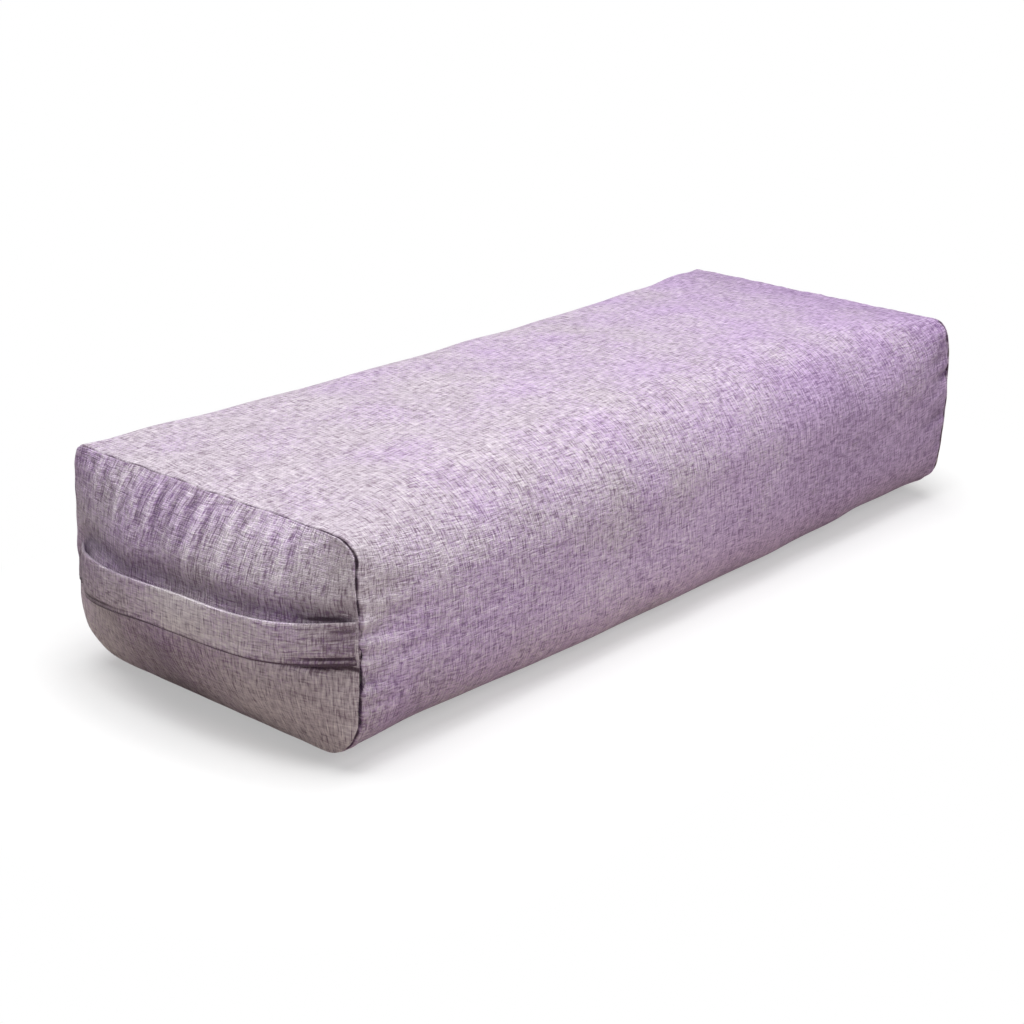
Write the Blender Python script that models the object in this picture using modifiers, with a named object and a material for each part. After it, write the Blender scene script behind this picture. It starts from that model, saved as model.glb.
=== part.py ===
"""Rectangular yoga bolster: a sewn cover with a zip and two carry handles, over a liner, fibre and foam.

Metres, +Z up. X runs along the bolster, the shown long side faces -Y, and the zip is on the +Y side.
The origin is the middle of the underside.
"""

import math

import bmesh
import bpy
import numpy as np

# Cover, measured on its outer face
SEAM_LENGTH = 0.626  # from one end seam to the other
WIDTH = 0.234  # at mid length, without the bellies
END_TAPER = 0.001  # how much narrower the ends are
SIDE_BELLY = 0.0045  # how far each long side swells at half height
HEIGHT = 0.150
TOP_CROWN = 0.0035
END_DROP = 0.0105  # how far the top edge comes down to the end seams
END_LIFT = 0.0075  # how far the end seams' low edge is drawn up
MIDDLE_TOP_RADIUS = 0.044
MIDDLE_LOW_RADIUS = 0.037
END_TOP_RADIUS = 0.013
END_LOW_RADIUS = 0.028
FORM_REACH = 0.250  # from an end seam to where the body has its full width and height
CORNER_REACH = 0.270  # from an end seam to where the long edges have their full radius
FRONT_TOP_RADIUS = 0.052  # of the shown side's top edge, which is fuller
FRONT_CORNER_REACH = 0.100
FLAT_CUT = 0.0005  # the underside is pressed flat this deep
END_BULGE = 0.026  # how far an end panel swells past its seam
BULGE_POWER = 2.4
FABRIC = 0.0012

# Seams
CLEARANCE = 0.0004  # between two pieces that touch
EDGE_TURN = 0.0010  # how far the body panel turns in at an end seam
EDGE_TURN_LENGTH = 0.003
SEAM_ALLOWANCE = 0.008
LIP = 0.0016  # from the body panel's edge to the end panel's lip
LIP_INSET = 0.0013
GATHERS = 7  # along the top of each end panel
GATHER_DEPTH = 0.0010
GATHER_RISE = 0.006
GATHER_LENGTH = 0.048

# Carry handles
HANDLE_WIDTH = 0.026
HANDLE_THICKNESS = 0.0024
HANDLE_EDGE = 0.0007  # rounding of the folded edges
HANDLE_RISE = 0.0315  # from the seam to the handle's inner face, at mid width
HANDLE_POWER = 3.2
HANDLE_FRONT_HEIGHT = 0.082  # middle of the handle at the shown side seam
HANDLE_BACK_HEIGHT = 0.066
HANDLE_BOW = 0.003
HANDLE_END_INSET = 0.004  # from the side seam to the handle's end

# Zip
ZIP_HEIGHT = 0.060  # of its middle line
ZIP_DRAW = 0.0035  # how far the zip's seams are drawn in from the ends' half width
ZIP_END_ROOM = 0.101  # from an end seam to the cover's opening
ZIP_OPENING_TAPER = 0.012
GROOVE_FLAT = 0.0055
GROOVE_FADE = 0.022
GROOVE_END_FADE = 0.048
TAPE_WIDTH = 0.016
TAPE_THICKNESS = 0.0006
TAPE_GAP = 0.0024
TAPE_TUCK = 0.006  # the tapes reach this far past the opening
TOOTH_PITCH = 0.0038
TOOTH_LENGTH = 0.0015  # along the zip
TOOTH_REACH = 0.0008  # past the middle line
TOOTH_THICKNESS = 0.0016
CORD_WIDTH = 0.0016  # moulded edge that carries the teeth
SLIDER_LENGTH = 0.012
SLIDER_FLARE = 0.0006  # how much wider the slider is at its front
SLIDER_CORNER = 0.0015
SLIDER_PLATE = 0.0012
SLIDER_RIM = 0.0008
WEDGE_LENGTH = 0.0035
WEDGE_WIDTH = 0.0030
WEDGE_NECK = 0.0014  # thickness of the web between the tapes that joins the slider's plates
WEDGE_NECK_REACH = 0.0028
LOOP_LENGTH = 0.0064
LOOP_WIDTH = 0.0016
LOOP_THICKNESS = 0.0009
LOOP_BEND = 0.0012
PULL_LENGTH = 0.028
PULL_WIDTH = 0.0068
PULL_ARM = 0.0013
PULL_SHOULDER = 0.004
PULL_BAR_RADIUS = 0.0007
PULL_HOLE_RADIUS = 0.0016
STOP_LENGTH = 0.002
STOP_WALL = 0.0006
STOP_ROOM = 0.0106  # from the opening's end to the stops

# Inside the cover
LINER_FABRIC = 0.0008
LINER_END_DROP = 0.0045  # from the cover's end face to the liner's, along X
LINER_END_ROOM = 0.006  # from the end seam back to the liner's own seam
FIBRE_END_DROP = 0.0078
FOAM_END_ROOM = 0.019  # from an end seam to the foam
FOAM_SIDE_ROOM = 0.019
FOAM_LOW_ROOM = 0.013
FOAM_TOP_ROOM = 0.013
FOAM_LAYERS = ("foam_base", "foam_middle", "foam_top")
FOAM_ROUND = 0.012

# Fineness of the sewn shapes
TOP_ARC_STEPS = 5
LOW_ARC_STEPS = 4
TOP_STEPS = 4
GATHER_STEPS = 4
FOAM_ROUND_STEPS = 4
LOW_STEPS = 2
BAR_STEPS = 10
HOLE_STEPS = 12
TIP_STEPS = 8
PANEL_RINGS = (0.955, 0.86, 0.72, 0.52, 0.28)
INNER_RINGS = (0.88, 0.62, 0.32)
HANDLE_STEPS = 24

END = SEAM_LENGTH / 2
END_WIDTH = WIDTH - END_TAPER
END_TOP = HEIGHT - END_DROP
END_MIDDLE = (END_TOP + END_LIFT) / 2
FLANGE_INSET = EDGE_TURN + FABRIC + CLEARANCE
LINER_INSET = FABRIC + CLEARANCE
LINER_STEP = FLANGE_INSET + FABRIC + CLEARANCE - LINER_INSET
FOAM_END = END - FOAM_END_ROOM
FLANGE_START = END - SEAM_ALLOWANCE
STEP_END = FLANGE_START - 2 * CLEARANCE
LINER_END = END - LINER_END_ROOM
OPENING_END = END - ZIP_END_ROOM
GROOVE_END = OPENING_END + ZIP_OPENING_TAPER
GROOVE_OUT = GROOVE_END + GROOVE_END_FADE
ZIP_SEAT = END_WIDTH / 2 - ZIP_DRAW
TAPE_PLANE = ZIP_SEAT - FABRIC - CLEARANCE - TAPE_THICKNESS / 2
TAPE_HOLD = TAPE_THICKNESS / 2 + CLEARANCE
TOOTH_ROOT = TOOTH_REACH + CLEARANCE
CHAIN_HALF_WIDTH = TOOTH_ROOT + CORD_WIDTH
CHAIN_HIGH = TAPE_HOLD + TOOTH_THICKNESS
SLIDER_TAIL_WIDTH = 2 * (CHAIN_HALF_WIDTH + CLEARANCE + SLIDER_RIM)
SLIDER_TOP = CHAIN_HIGH + CLEARANCE + SLIDER_PLATE
SLIDER_UNDER = -TAPE_HOLD - SLIDER_PLATE
SLIDER_REST = -OPENING_END + STOP_ROOM + STOP_LENGTH + CLEARANCE + SLIDER_LENGTH / 2
SLIDER_FRONT = SLIDER_REST - SLIDER_LENGTH / 2
ZIP_OPENING = SLIDER_TAIL_WIDTH + SLIDER_FLARE + 2 * CLEARANCE
CHAIN_START = SLIDER_FRONT + WEDGE_LENGTH + CLEARANCE
CHAIN_END = OPENING_END - STOP_ROOM - 2 * STOP_LENGTH
PULL_HEIGHT = SLIDER_TOP + CLEARANCE + PULL_BAR_RADIUS
POCKET_SEAT = TAPE_PLANE + SLIDER_UNDER - CLEARANCE
POCKET_FLAT = TAPE_GAP / 2 + TAPE_WIDTH + CLEARANCE
SHARED_ROWS = (  # along X, in every layer, so that their facets lie parallel
    OPENING_END / 2, GROOVE_END, (GROOVE_END + GROOVE_OUT) / 2, GROOVE_OUT, FOAM_END,
)

# Turns of a flat outline that is drawn in X and Y and thick along Z
FACING_BACK = (math.pi / 2, 0.0, 0.0)  # outline x along X, outline y up
FACING_END = (math.pi / 2, 0.0, math.pi / 2)  # outline x along Y, outline y up
UPRIGHT = (0.0, 0.0, 0.0)


def clear_scene():
    for obj in list(bpy.data.objects):
        bpy.data.objects.remove(obj, do_unlink=True)
    for name in ("yoga_bolster", "helpers"):
        if name in bpy.data.collections:
            bpy.data.collections.remove(bpy.data.collections[name])
        bpy.context.scene.collection.children.link(bpy.data.collections.new(name))


def material(name, colour, roughness, metallic=0.0):
    made = bpy.data.materials.new(name)
    made.use_nodes = True
    shader = made.node_tree.nodes["Principled BSDF"]
    shader.inputs["Base Color"].default_value = (*colour, 1.0)
    shader.inputs["Roughness"].default_value = roughness
    shader.inputs["Metallic"].default_value = metallic
    made.diffuse_color = (*colour, 1.0)
    return made


def add_object(name, data, finish=None, helper=False):
    """Adds a part to the scene or, as a helper, a cutter or a shape that is joined to a part."""
    obj = bpy.data.objects.new(name, data)
    bpy.data.collections["helpers" if helper else "yoga_bolster"].objects.link(obj)
    if helper:
        obj.hide_render = True
        obj.display_type = "WIRE"
    if finish:
        data.materials.append(finish)
    return obj


def smooth_shade(mesh, angle=45):
    mesh.shade_smooth()
    mesh.set_sharp_from_angle(angle=math.radians(angle))


def join_or_cut(obj, other, operation):
    boolean = obj.modifiers.new(operation.lower(), "BOOLEAN")
    boolean.operation = operation
    boolean.object = other
    boolean.solver = "EXACT"


def thicken(obj, thickness, offset=-1.0):
    wall = obj.modifiers.new("cloth", "SOLIDIFY")
    wall.thickness = thickness
    wall.offset = offset
    wall.use_even_offset = True


def mix(start, end, amount):
    return start + (end - start) * amount


def ease(distance, reach):
    """Rises like a sine from 0 at distance 0 to 1 at the reach."""
    return math.sin(math.pi / 2 * min(1.0, max(0.0, distance / reach)))


def fade(value, start, length):
    """1 up to the start, then a smooth fall to 0 over the length."""
    t = np.clip((value - start) / length, 0.0, 1.0)
    return 1.0 - t * t * (3.0 - 2.0 * t)


def arc(centre_y, centre_z, radius, start, steps):
    """A quarter turn from the start angle, anticlockwise seen from +X with Y to the right."""
    angles = np.radians(start + 90.0 * np.arange(steps + 1) / steps)
    return np.stack([centre_y + radius * np.cos(angles), centre_z + radius * np.sin(angles)], axis=1)


def run(start, end, steps):
    """The points strictly between two points, evenly spaced."""
    t = (np.arange(1, steps) / steps)[:, None]
    return start + (end - start) * t


def section(x, inset=0.0, half_gap=0.0, seat=ZIP_SEAT, groove_flat=GROOVE_FLAT, top_steps=TOP_STEPS):
    """(y, z) points round the bolster at x, this far inside the cover's outer face.

    The curve starts over the zip on the +Y side, goes over the top to the shown side and comes back
    underneath. It is a rounded rectangle with a crown on top and a belly on each side, drawn in to
    the seat along the zip and cut flat underneath. Without a half gap it is a closed loop.
    """
    form = ease(END - abs(x), FORM_REACH)
    corner = ease(END - abs(x), CORNER_REACH)
    side = mix(END_WIDTH, WIDTH, form) / 2 - inset
    low = mix(END_LIFT, -FLAT_CUT, form) + inset
    high = mix(END_TOP, HEIGHT - TOP_CROWN, form) - inset
    pocket_top = ZIP_HEIGHT + POCKET_FLAT
    pocket_low = ZIP_HEIGHT - POCKET_FLAT
    top_radius = min(mix(END_TOP_RADIUS, MIDDLE_TOP_RADIUS, corner) - inset, high - pocket_top - TAPE_GAP)
    low_radius = min(mix(END_LOW_RADIUS, MIDDLE_LOW_RADIUS, corner) - inset, pocket_low - low - TAPE_GAP)
    front_corner = ease(END - abs(x), FRONT_CORNER_REACH)
    front_radius = mix(END_TOP_RADIUS, FRONT_TOP_RADIUS, front_corner) - inset

    top_back = arc(side - top_radius, high - top_radius, top_radius, 0, TOP_ARC_STEPS)
    top_front = arc(-side + front_radius, high - front_radius, front_radius, 90, TOP_ARC_STEPS)
    low_front = arc(-side + low_radius, low + low_radius, low_radius, 180, LOW_ARC_STEPS)
    low_back = arc(side - low_radius, low + low_radius, low_radius, 270, LOW_ARC_STEPS)
    over_zip = np.array([[side, ZIP_HEIGHT + half_gap]])
    under_zip = np.array([[side, ZIP_HEIGHT - half_gap]])
    over_pocket = np.array([[side, pocket_top]])
    points = np.concatenate([
        over_zip,
        over_pocket,
        (over_pocket + top_back[:1]) / 2,
        top_back,
        run(top_back[-1], top_front[0], top_steps),
        top_front,
        run(top_front[-1], low_front[0], LOW_STEPS),
        low_front,
        run(low_front[-1], low_back[0], LOW_STEPS),
        low_back,
        [[side, pocket_low]],
        under_zip[: 1 if half_gap else 0],
    ])
    y, z = points[:, 0].copy(), points[:, 1].copy()
    up = np.clip((z - low) / (high - low), 0.0, 1.0)
    across = np.clip(np.abs(y) / side, 0.0, 1.0)
    z += TOP_CROWN * form * np.cos(across * math.pi / 2) * np.clip(2 * up - 1, 0.0, 1.0)
    y += SIDE_BELLY * np.sign(y) * np.sin(up * math.pi) * np.clip(2 * across - 1, 0.0, 1.0)
    drawn = fade(np.abs(z - ZIP_HEIGHT), groove_flat, GROOVE_FADE)
    drawn *= fade(abs(x), GROOVE_END, GROOVE_END_FADE)
    y += np.where(y > seat, (seat - y) * drawn, 0.0)
    return y, np.maximum(z, inset)


def end_face(y, z, drop=0.0):
    """X of an end panel's outer face at a point: a pillow that falls to the seam on all sides.

    Its height is the product of two drops, one across and one up.
    """
    half_width = END_WIDTH / 2 + SIDE_BELLY - LIP_INSET
    half_height = (END_TOP - END_LIFT) / 2 - LIP_INSET
    across = np.clip(np.abs(y) / half_width, 0.0, 1.0) ** BULGE_POWER
    up = np.clip(np.abs(z - END_MIDDLE) / half_height, 0.0, 1.0) ** BULGE_POWER
    return END + LIP + END_BULGE * (1 - across) * (1 - up) - drop


def gather(seam_y, z):
    """Depth of the upright folds that start under the top seam at seam_y and run out further down."""
    pitch = (END_WIDTH - 2 * END_TOP_RADIUS) / GATHERS
    below = END_TOP - LIP_INSET - z
    reach = (1 - fade(below, 0.0, GATHER_RISE)) * fade(below, GATHER_RISE, GATHER_LENGTH - GATHER_RISE)
    wave = 0.5 - 0.5 * np.cos(2 * math.pi * (seam_y / pitch + GATHERS / 2))
    return GATHER_DEPTH * wave * reach * (np.abs(seam_y) < pitch * GATHERS / 2)


def ring(loop, scale):
    """A seam loop drawn in towards its middle, and rounder the smaller it gets."""
    y, z = loop
    half_width, half_height = np.abs(y).max(), np.abs(z - END_MIDDLE).max()
    angle = np.arctan2((z - END_MIDDLE) / half_height, y / half_width)
    ring_y = scale * mix(half_width * np.cos(angle), y, scale)
    ring_z = scale * mix(half_height * np.sin(angle), z - END_MIDDLE, scale)
    return ring_y, END_MIDDLE + ring_z


def row(x, yz):
    y, z = yz
    return np.stack([np.broadcast_to(x, y.shape), y, z], axis=1)


def skin(name, rows, closed=False, flip=False, tip=None, filled=False):
    """A mesh through rows of points: quads between neighbours and, with a tip, a fan at the last row.

    Filled, the ends that stay open get a face each, which makes it a closed solid.
    """
    count = len(rows[0])
    vertices = [tuple(point) for points in rows for point in points]
    faces = []
    for i in range(len(rows) - 1):
        for j in range(count if closed else count - 1):
            k = (j + 1) % count
            faces.append((i * count + j, i * count + k, (i + 1) * count + k, (i + 1) * count + j))
    if tip is not None:
        vertices.append(tip)
        last = (len(rows) - 1) * count
        faces += [(last + j, last + (j + 1) % count, len(vertices) - 1) for j in range(count)]
    if filled:
        faces.append(tuple(range(count))[::-1])
        if tip is None:
            faces.append(tuple(range(len(vertices) - count, len(vertices))))
    if flip:
        faces = [face[::-1] for face in faces]
    mesh = bpy.data.meshes.new(name)
    mesh.from_pydata(vertices, [], faces)
    smooth_shade(mesh)
    return mesh


def mirrored_skin(name, side, rows, tip, filled=False):
    """An end's skin, built at +X and turned over to -X for the near side."""
    turned = [points * (side, 1, 1) for points in rows]
    turned_tip = (side * tip[0], tip[1], tip[2])
    return skin(name, turned, closed=True, flip=side < 0, tip=turned_tip, filled=filled)


def both_ways(*distances):
    """Stations along X at the given distances on both sides of the middle, in order."""
    return [-x for x in sorted(distances, reverse=True)] + [0.0] + sorted(distances)


def zip_half_gap(x):
    opened = float(fade(abs(x), OPENING_END, ZIP_OPENING_TAPER))
    return mix(CLEARANCE / 2, ZIP_OPENING / 2, opened)


def body_panel(finish):
    """The one wide panel that goes round the bolster; its two long edges meet at the zip."""
    rows = []
    turn_start = END - EDGE_TURN_LENGTH
    for x in both_ways(*SHARED_ROWS, OPENING_END, STEP_END, turn_start, END):
        turned = EDGE_TURN if abs(x) > turn_start else 0.0
        rows.append(row(x, section(x, turned, zip_half_gap(x))))
    thicken(add_object("cover_body_panel", skin("cover_body_panel", rows), finish), FABRIC)


def end_panel(name, side, finish):
    """An end panel with its seam allowance turned in under the body panel's edge."""
    fine = GATHERS * GATHER_STEPS
    loop = section(END, LIP_INSET, top_steps=fine)
    rows = [
        row(FLANGE_START, section(FLANGE_START, FLANGE_INSET, top_steps=fine)),
        row(END + CLEARANCE / 2, section(END, FLANGE_INSET, top_steps=fine)),
        row(END + LIP, loop),
    ]
    for scale in PANEL_RINGS:
        y, z = ring(loop, scale)
        rows.append(row(end_face(y, z) - gather(loop[0], z), (y, z)))
    tip = (float(end_face(0.0, END_MIDDLE)), 0.0, END_MIDDLE)
    thicken(add_object(name, mirrored_skin(name, side, rows, tip), finish), FABRIC)


def handle(name, side, finish):
    """A folded strap of the cover's own cloth, sewn into both side seams and bowed out between them.

    It is flatter than the panel behind it, which leaves room for a hand, and lower at the back.
    """
    reach = END_WIDTH / 2 + SIDE_BELLY - HANDLE_END_INSET
    y = reach * np.sin(np.linspace(-1, 1, HANDLE_STEPS + 1) * math.pi / 2)
    t = y / reach
    middle = mix(HANDLE_FRONT_HEIGHT, HANDLE_BACK_HEIGHT, (t + 1) / 2) + HANDLE_BOW * (1 - t * t)
    bowed = END + LIP + HANDLE_RISE * (1 - np.abs(t) ** HANDLE_POWER)
    x = np.maximum(bowed, end_face(y, middle) + CLEARANCE)
    rows = [np.stack([side * x, y, middle + up * HANDLE_WIDTH / 2], axis=1) for up in (-1, 0, 1)]
    strap = add_object(name, skin(name, rows, flip=side < 0), finish)
    thicken(strap, HANDLE_THICKNESS, offset=1.0)
    rounding = strap.modifiers.new("folded edges", "BEVEL")
    rounding.width = HANDLE_EDGE
    rounding.segments = 1
    rounding.limit_method = "ANGLE"
    rounding.angle_limit = math.radians(60)


def box(name, low, high, finish=None, helper=False, rounded=None):
    """A box between two corners; rounded is a rule that picks the edges to round."""
    low, high = np.array(low), np.array(high)
    made = bmesh.new()
    bmesh.ops.create_cube(made, size=1.0)
    for vertex in made.verts:
        vertex.co = (low + high) / 2 + np.array(vertex.co) * (high - low)
    if rounded:
        edges = [edge for edge in made.edges if rounded(edge)]
        bmesh.ops.bevel(
            made, geom=edges, offset=FOAM_ROUND, segments=FOAM_ROUND_STEPS, profile=0.5, affect="EDGES",
        )
    mesh = bpy.data.meshes.new(name)
    made.to_mesh(mesh)
    made.free()
    smooth_shade(mesh)
    return add_object(name, mesh, finish, helper)


def plate(name, outline, thickness, place, turn, finish=None, helper=False):
    """A flat outline extruded to its thickness, with its own zero at the place."""
    curve = bpy.data.curves.new(name, "CURVE")
    curve.dimensions = "2D"
    curve.fill_mode = "BOTH"
    curve.extrude = thickness / 2
    spline = curve.splines.new("POLY")
    spline.points.add(len(outline) - 1)
    spline.points.foreach_set("co", [value for u, v in outline for value in (u, v, 0.0, 1.0)])
    spline.use_cyclic_u = True
    obj = add_object(name, curve, finish, helper)
    obj.location = place
    obj.rotation_euler = turn
    return obj


def made_mesh(obj):
    """The plate as a mesh object in the same place, with its caps welded, ready for a Boolean."""
    bpy.context.view_layer.update()
    evaluated = obj.evaluated_get(bpy.context.evaluated_depsgraph_get())
    mesh = bpy.data.meshes.new_from_object(evaluated)
    welded = bmesh.new()
    welded.from_mesh(mesh)
    bmesh.ops.remove_doubles(welded, verts=welded.verts, dist=1e-7)
    bmesh.ops.recalc_face_normals(welded, faces=welded.faces)
    welded.to_mesh(mesh)
    welded.free()
    name, helper, place = obj.name, obj.hide_render, obj.matrix_world.copy()
    bpy.data.objects.remove(obj, do_unlink=True)
    solid = add_object(name, mesh, helper=helper)
    solid.matrix_world = place
    return solid


def zip_tapes(finish):
    half = OPENING_END + TAPE_TUCK
    for name, sign in (("zip_tape_upper", 1), ("zip_tape_lower", -1)):
        low, high = sorted((ZIP_HEIGHT + sign * TAPE_GAP / 2, ZIP_HEIGHT + sign * (TAPE_GAP / 2 + TAPE_WIDTH)))
        face = TAPE_THICKNESS / 2
        box(name, (-half, TAPE_PLANE - face, low), (half, TAPE_PLANE + face, high), finish)


def tooth_row(name, sign, finish):
    """A row of moulded teeth on its cord; the two rows mesh half a pitch apart."""
    first = CHAIN_START + CLEARANCE + (TOOTH_PITCH / 2 if sign < 0 else 0.0)
    count = int((CHAIN_END - CLEARANCE - TOOTH_LENGTH - first) / TOOTH_PITCH) + 1
    outline = [(CHAIN_START, CHAIN_HALF_WIDTH), (CHAIN_START, TOOTH_ROOT)]
    for start in first + TOOTH_PITCH * np.arange(count):
        end = start + TOOTH_LENGTH
        outline += [(start, TOOTH_ROOT), (start, -TOOTH_REACH), (end, -TOOTH_REACH), (end, TOOTH_ROOT)]
    outline += [(CHAIN_END, TOOTH_ROOT), (CHAIN_END, CHAIN_HALF_WIDTH)]
    place = (0.0, TAPE_PLANE + TAPE_HOLD + TOOTH_THICKNESS / 2, ZIP_HEIGHT)
    plate(name, [(u, sign * v) for u, v in outline], TOOTH_THICKNESS, place, FACING_BACK, finish)


def slider_plan():
    """Outline of a slider plate round its own middle; the front, where the rows part, is at -X."""
    half = SLIDER_LENGTH / 2 - SLIDER_CORNER
    tail = SLIDER_TAIL_WIDTH / 2 - SLIDER_CORNER
    front = tail + SLIDER_FLARE / 2
    points = []
    for u, v, start in ((half, tail, 0), (-half, front, 90), (-half, -front, 180), (half, -tail, 270)):
        for angle in np.radians(start + np.array([0, 30, 60, 90])):
            points.append((u + SLIDER_CORNER * math.cos(angle), v + SLIDER_CORNER * math.sin(angle)))
    return points


def loop_outline():
    """Outline of the arch on the slider, seen along the pull's bar, from the top plate's mid plane up."""
    foot = SLIDER_TOP - SLIDER_PLATE / 2
    inner_top = PULL_HEIGHT + PULL_BAR_RADIUS + CLEARANCE
    top = inner_top + LOOP_THICKNESS
    half = LOOP_LENGTH / 2
    inner = half - LOOP_THICKNESS
    bend = LOOP_BEND
    turn = bend * (1 - math.sqrt(0.5))
    right = [(half, foot), (half, top - bend), (half - turn, top - turn), (half - bend, top)]
    left = [(-u, h) for u, h in reversed(right)]
    return right + left + [(-inner, foot), (-inner, inner_top), (inner, inner_top), (inner, foot)]


def zip_slider(finish):
    """Two plates on a wedge that parts the rows, side rims that guide the teeth, and a loop for the pull."""
    middle = (SLIDER_REST, TAPE_PLANE, ZIP_HEIGHT)

    def across(height):
        return (SLIDER_REST, TAPE_PLANE + height, ZIP_HEIGHT)

    top_middle = SLIDER_TOP - SLIDER_PLATE / 2
    slider = made_mesh(plate("zip_slider", slider_plan(), SLIDER_PLATE, across(top_middle), FACING_BACK))
    slider.data.materials.append(finish)
    under_middle = SLIDER_UNDER + SLIDER_PLATE / 2
    under = plate(
        "slider_back_plate", slider_plan(), SLIDER_PLATE, across(under_middle), FACING_BACK, helper=True,
    )
    wedge_start = -SLIDER_LENGTH / 2 + CLEARANCE
    point = -SLIDER_LENGTH / 2 + WEDGE_LENGTH
    shoulder = (wedge_start + point) / 2
    wedge_half = [(wedge_start, WEDGE_WIDTH / 2), (shoulder, WEDGE_WIDTH / 2), (point, WEDGE_NECK / 4)]
    wedge_plan = wedge_half + [(u, -v) for u, v in reversed(wedge_half)]
    wedge_middle = across((top_middle + TAPE_HOLD) / 2)
    wedge = plate(
        "slider_wedge", wedge_plan[::-1], top_middle - TAPE_HOLD, wedge_middle, FACING_BACK, helper=True,
    )
    loop = plate("slider_loop", loop_outline(), LOOP_WIDTH, middle, UPRIGHT, helper=True)
    joined = [made_mesh(under), made_mesh(wedge), made_mesh(loop)]
    rim_half = SLIDER_LENGTH / 2 - SLIDER_CORNER
    for name, side in (("slider_rim_low", -1), ("slider_rim_high", 1)):
        outer = ZIP_HEIGHT + side * SLIDER_TAIL_WIDTH / 2
        low, high = sorted((outer, outer - side * SLIDER_RIM))
        joined.append(box(
            name,
            (SLIDER_REST - rim_half, TAPE_PLANE + TAPE_HOLD, low),
            (SLIDER_REST + rim_half, TAPE_PLANE + top_middle, high),
            helper=True,
        ))
    joined.append(box(
        "slider_neck",
        (SLIDER_FRONT + 2 * CLEARANCE, TAPE_PLANE + under_middle, ZIP_HEIGHT - WEDGE_NECK / 2),
        (SLIDER_FRONT + WEDGE_NECK_REACH, TAPE_PLANE + CHAIN_HIGH, ZIP_HEIGHT + WEDGE_NECK / 2),
        helper=True,
    ))
    for piece in joined:
        join_or_cut(slider, piece, "UNION")


def circle(centre, radius, steps):
    angles = np.radians(360 * np.arange(steps) / steps)
    return [(centre + radius * math.cos(a), radius * math.sin(a)) for a in angles]


def zip_pull(finish):
    """A flat tab with an eye; the bar at the eye's near end turns in the slider's loop."""
    pivot = bpy.data.objects.new("zip_pull_pivot", None)
    pivot.location = (SLIDER_REST, TAPE_PLANE + PULL_HEIGHT, ZIP_HEIGHT)
    bpy.data.collections["yoga_bolster"].objects.link(pivot)
    half = PULL_WIDTH / 2
    back = -PULL_BAR_RADIUS
    arm_inner = LOOP_WIDTH / 2 + CLEARANCE
    arm_outer = arm_inner + PULL_ARM
    eye_end = LOOP_LENGTH / 2 + CLEARANCE
    shoulder = eye_end + PULL_SHOULDER
    tip_middle = PULL_LENGTH - half
    tip = [
        (tip_middle + half * math.cos(a), half * math.sin(a))
        for a in np.linspace(-math.pi / 2, math.pi / 2, TIP_STEPS + 1)
    ]
    outline = [(back, -arm_outer), (eye_end, -arm_outer), (shoulder, -half), *tip, (shoulder, half)]
    outline += [(eye_end, arm_outer), (back, arm_outer), (back, arm_inner), (eye_end, arm_inner)]
    outline += [(eye_end, -arm_inner), (back, -arm_inner)]
    zero = (0.0, 0.0, 0.0)
    pull = made_mesh(plate("zip_pull", outline, 2 * PULL_BAR_RADIUS, zero, FACING_BACK))
    pull.data.materials.append(finish)
    bar_length = 2 * arm_inner + PULL_ARM
    bar_round = circle(0.0, PULL_BAR_RADIUS, BAR_STEPS)
    bar = made_mesh(plate("pull_bar", bar_round, bar_length, zero, UPRIGHT, helper=True))
    hole_round = circle(tip_middle, PULL_HOLE_RADIUS, HOLE_STEPS)
    hole = made_mesh(plate("pull_hole", hole_round, PULL_WIDTH, zero, FACING_BACK, helper=True))
    for piece in (pull, bar, hole):
        piece.parent = pivot
    join_or_cut(pull, bar, "UNION")
    join_or_cut(pull, hole, "DIFFERENCE")


def zip_stops(finish):
    """Two crimped stops over the closed end and one that holds both tapes at the other end."""
    outer = CHAIN_HIGH - STOP_WALL
    inner = -TAPE_HOLD - STOP_WALL
    near = TAPE_GAP / 2 - CLEARANCE
    top_middle = SLIDER_FRONT - CLEARANCE - STOP_LENGTH / 2
    far = CHAIN_HALF_WIDTH
    clip = [
        (inner, far), (inner, near - STOP_WALL), (outer, near - STOP_WALL), (outer, far),
        (TAPE_HOLD, far), (TAPE_HOLD, near), (-TAPE_HOLD, near), (-TAPE_HOLD, far),
    ]
    for name, sign in (("zip_top_stop_upper", 1), ("zip_top_stop_lower", -1)):
        outline = [(u, sign * v) for u, v in clip]
        plate(name, outline, STOP_LENGTH, (top_middle, TAPE_PLANE, ZIP_HEIGHT), FACING_END, finish)
    far = CHAIN_HALF_WIDTH + STOP_WALL
    half = [
        (inner, far), (-TAPE_HOLD, far), (-TAPE_HOLD, near), (TAPE_HOLD, near), (TAPE_HOLD, far), (outer, far),
    ]
    outline = half + [(u, -v) for u, v in reversed(half)]
    place = (CHAIN_END + CLEARANCE + STOP_LENGTH, TAPE_PLANE, ZIP_HEIGHT)
    plate("zip_bottom_stop", outline, 2 * STOP_LENGTH, place, FACING_END, finish)


def inner_section(x, extra=0.0):
    """A liner section: against the body panel, and further in where the end panels' allowances lie."""
    stepped = LINER_STEP * (1 - float(fade(abs(x), FOAM_END, STEP_END - FOAM_END)))
    return section(x, LINER_INSET + stepped + extra, seat=POCKET_SEAT - extra, groove_flat=POCKET_FLAT)


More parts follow.
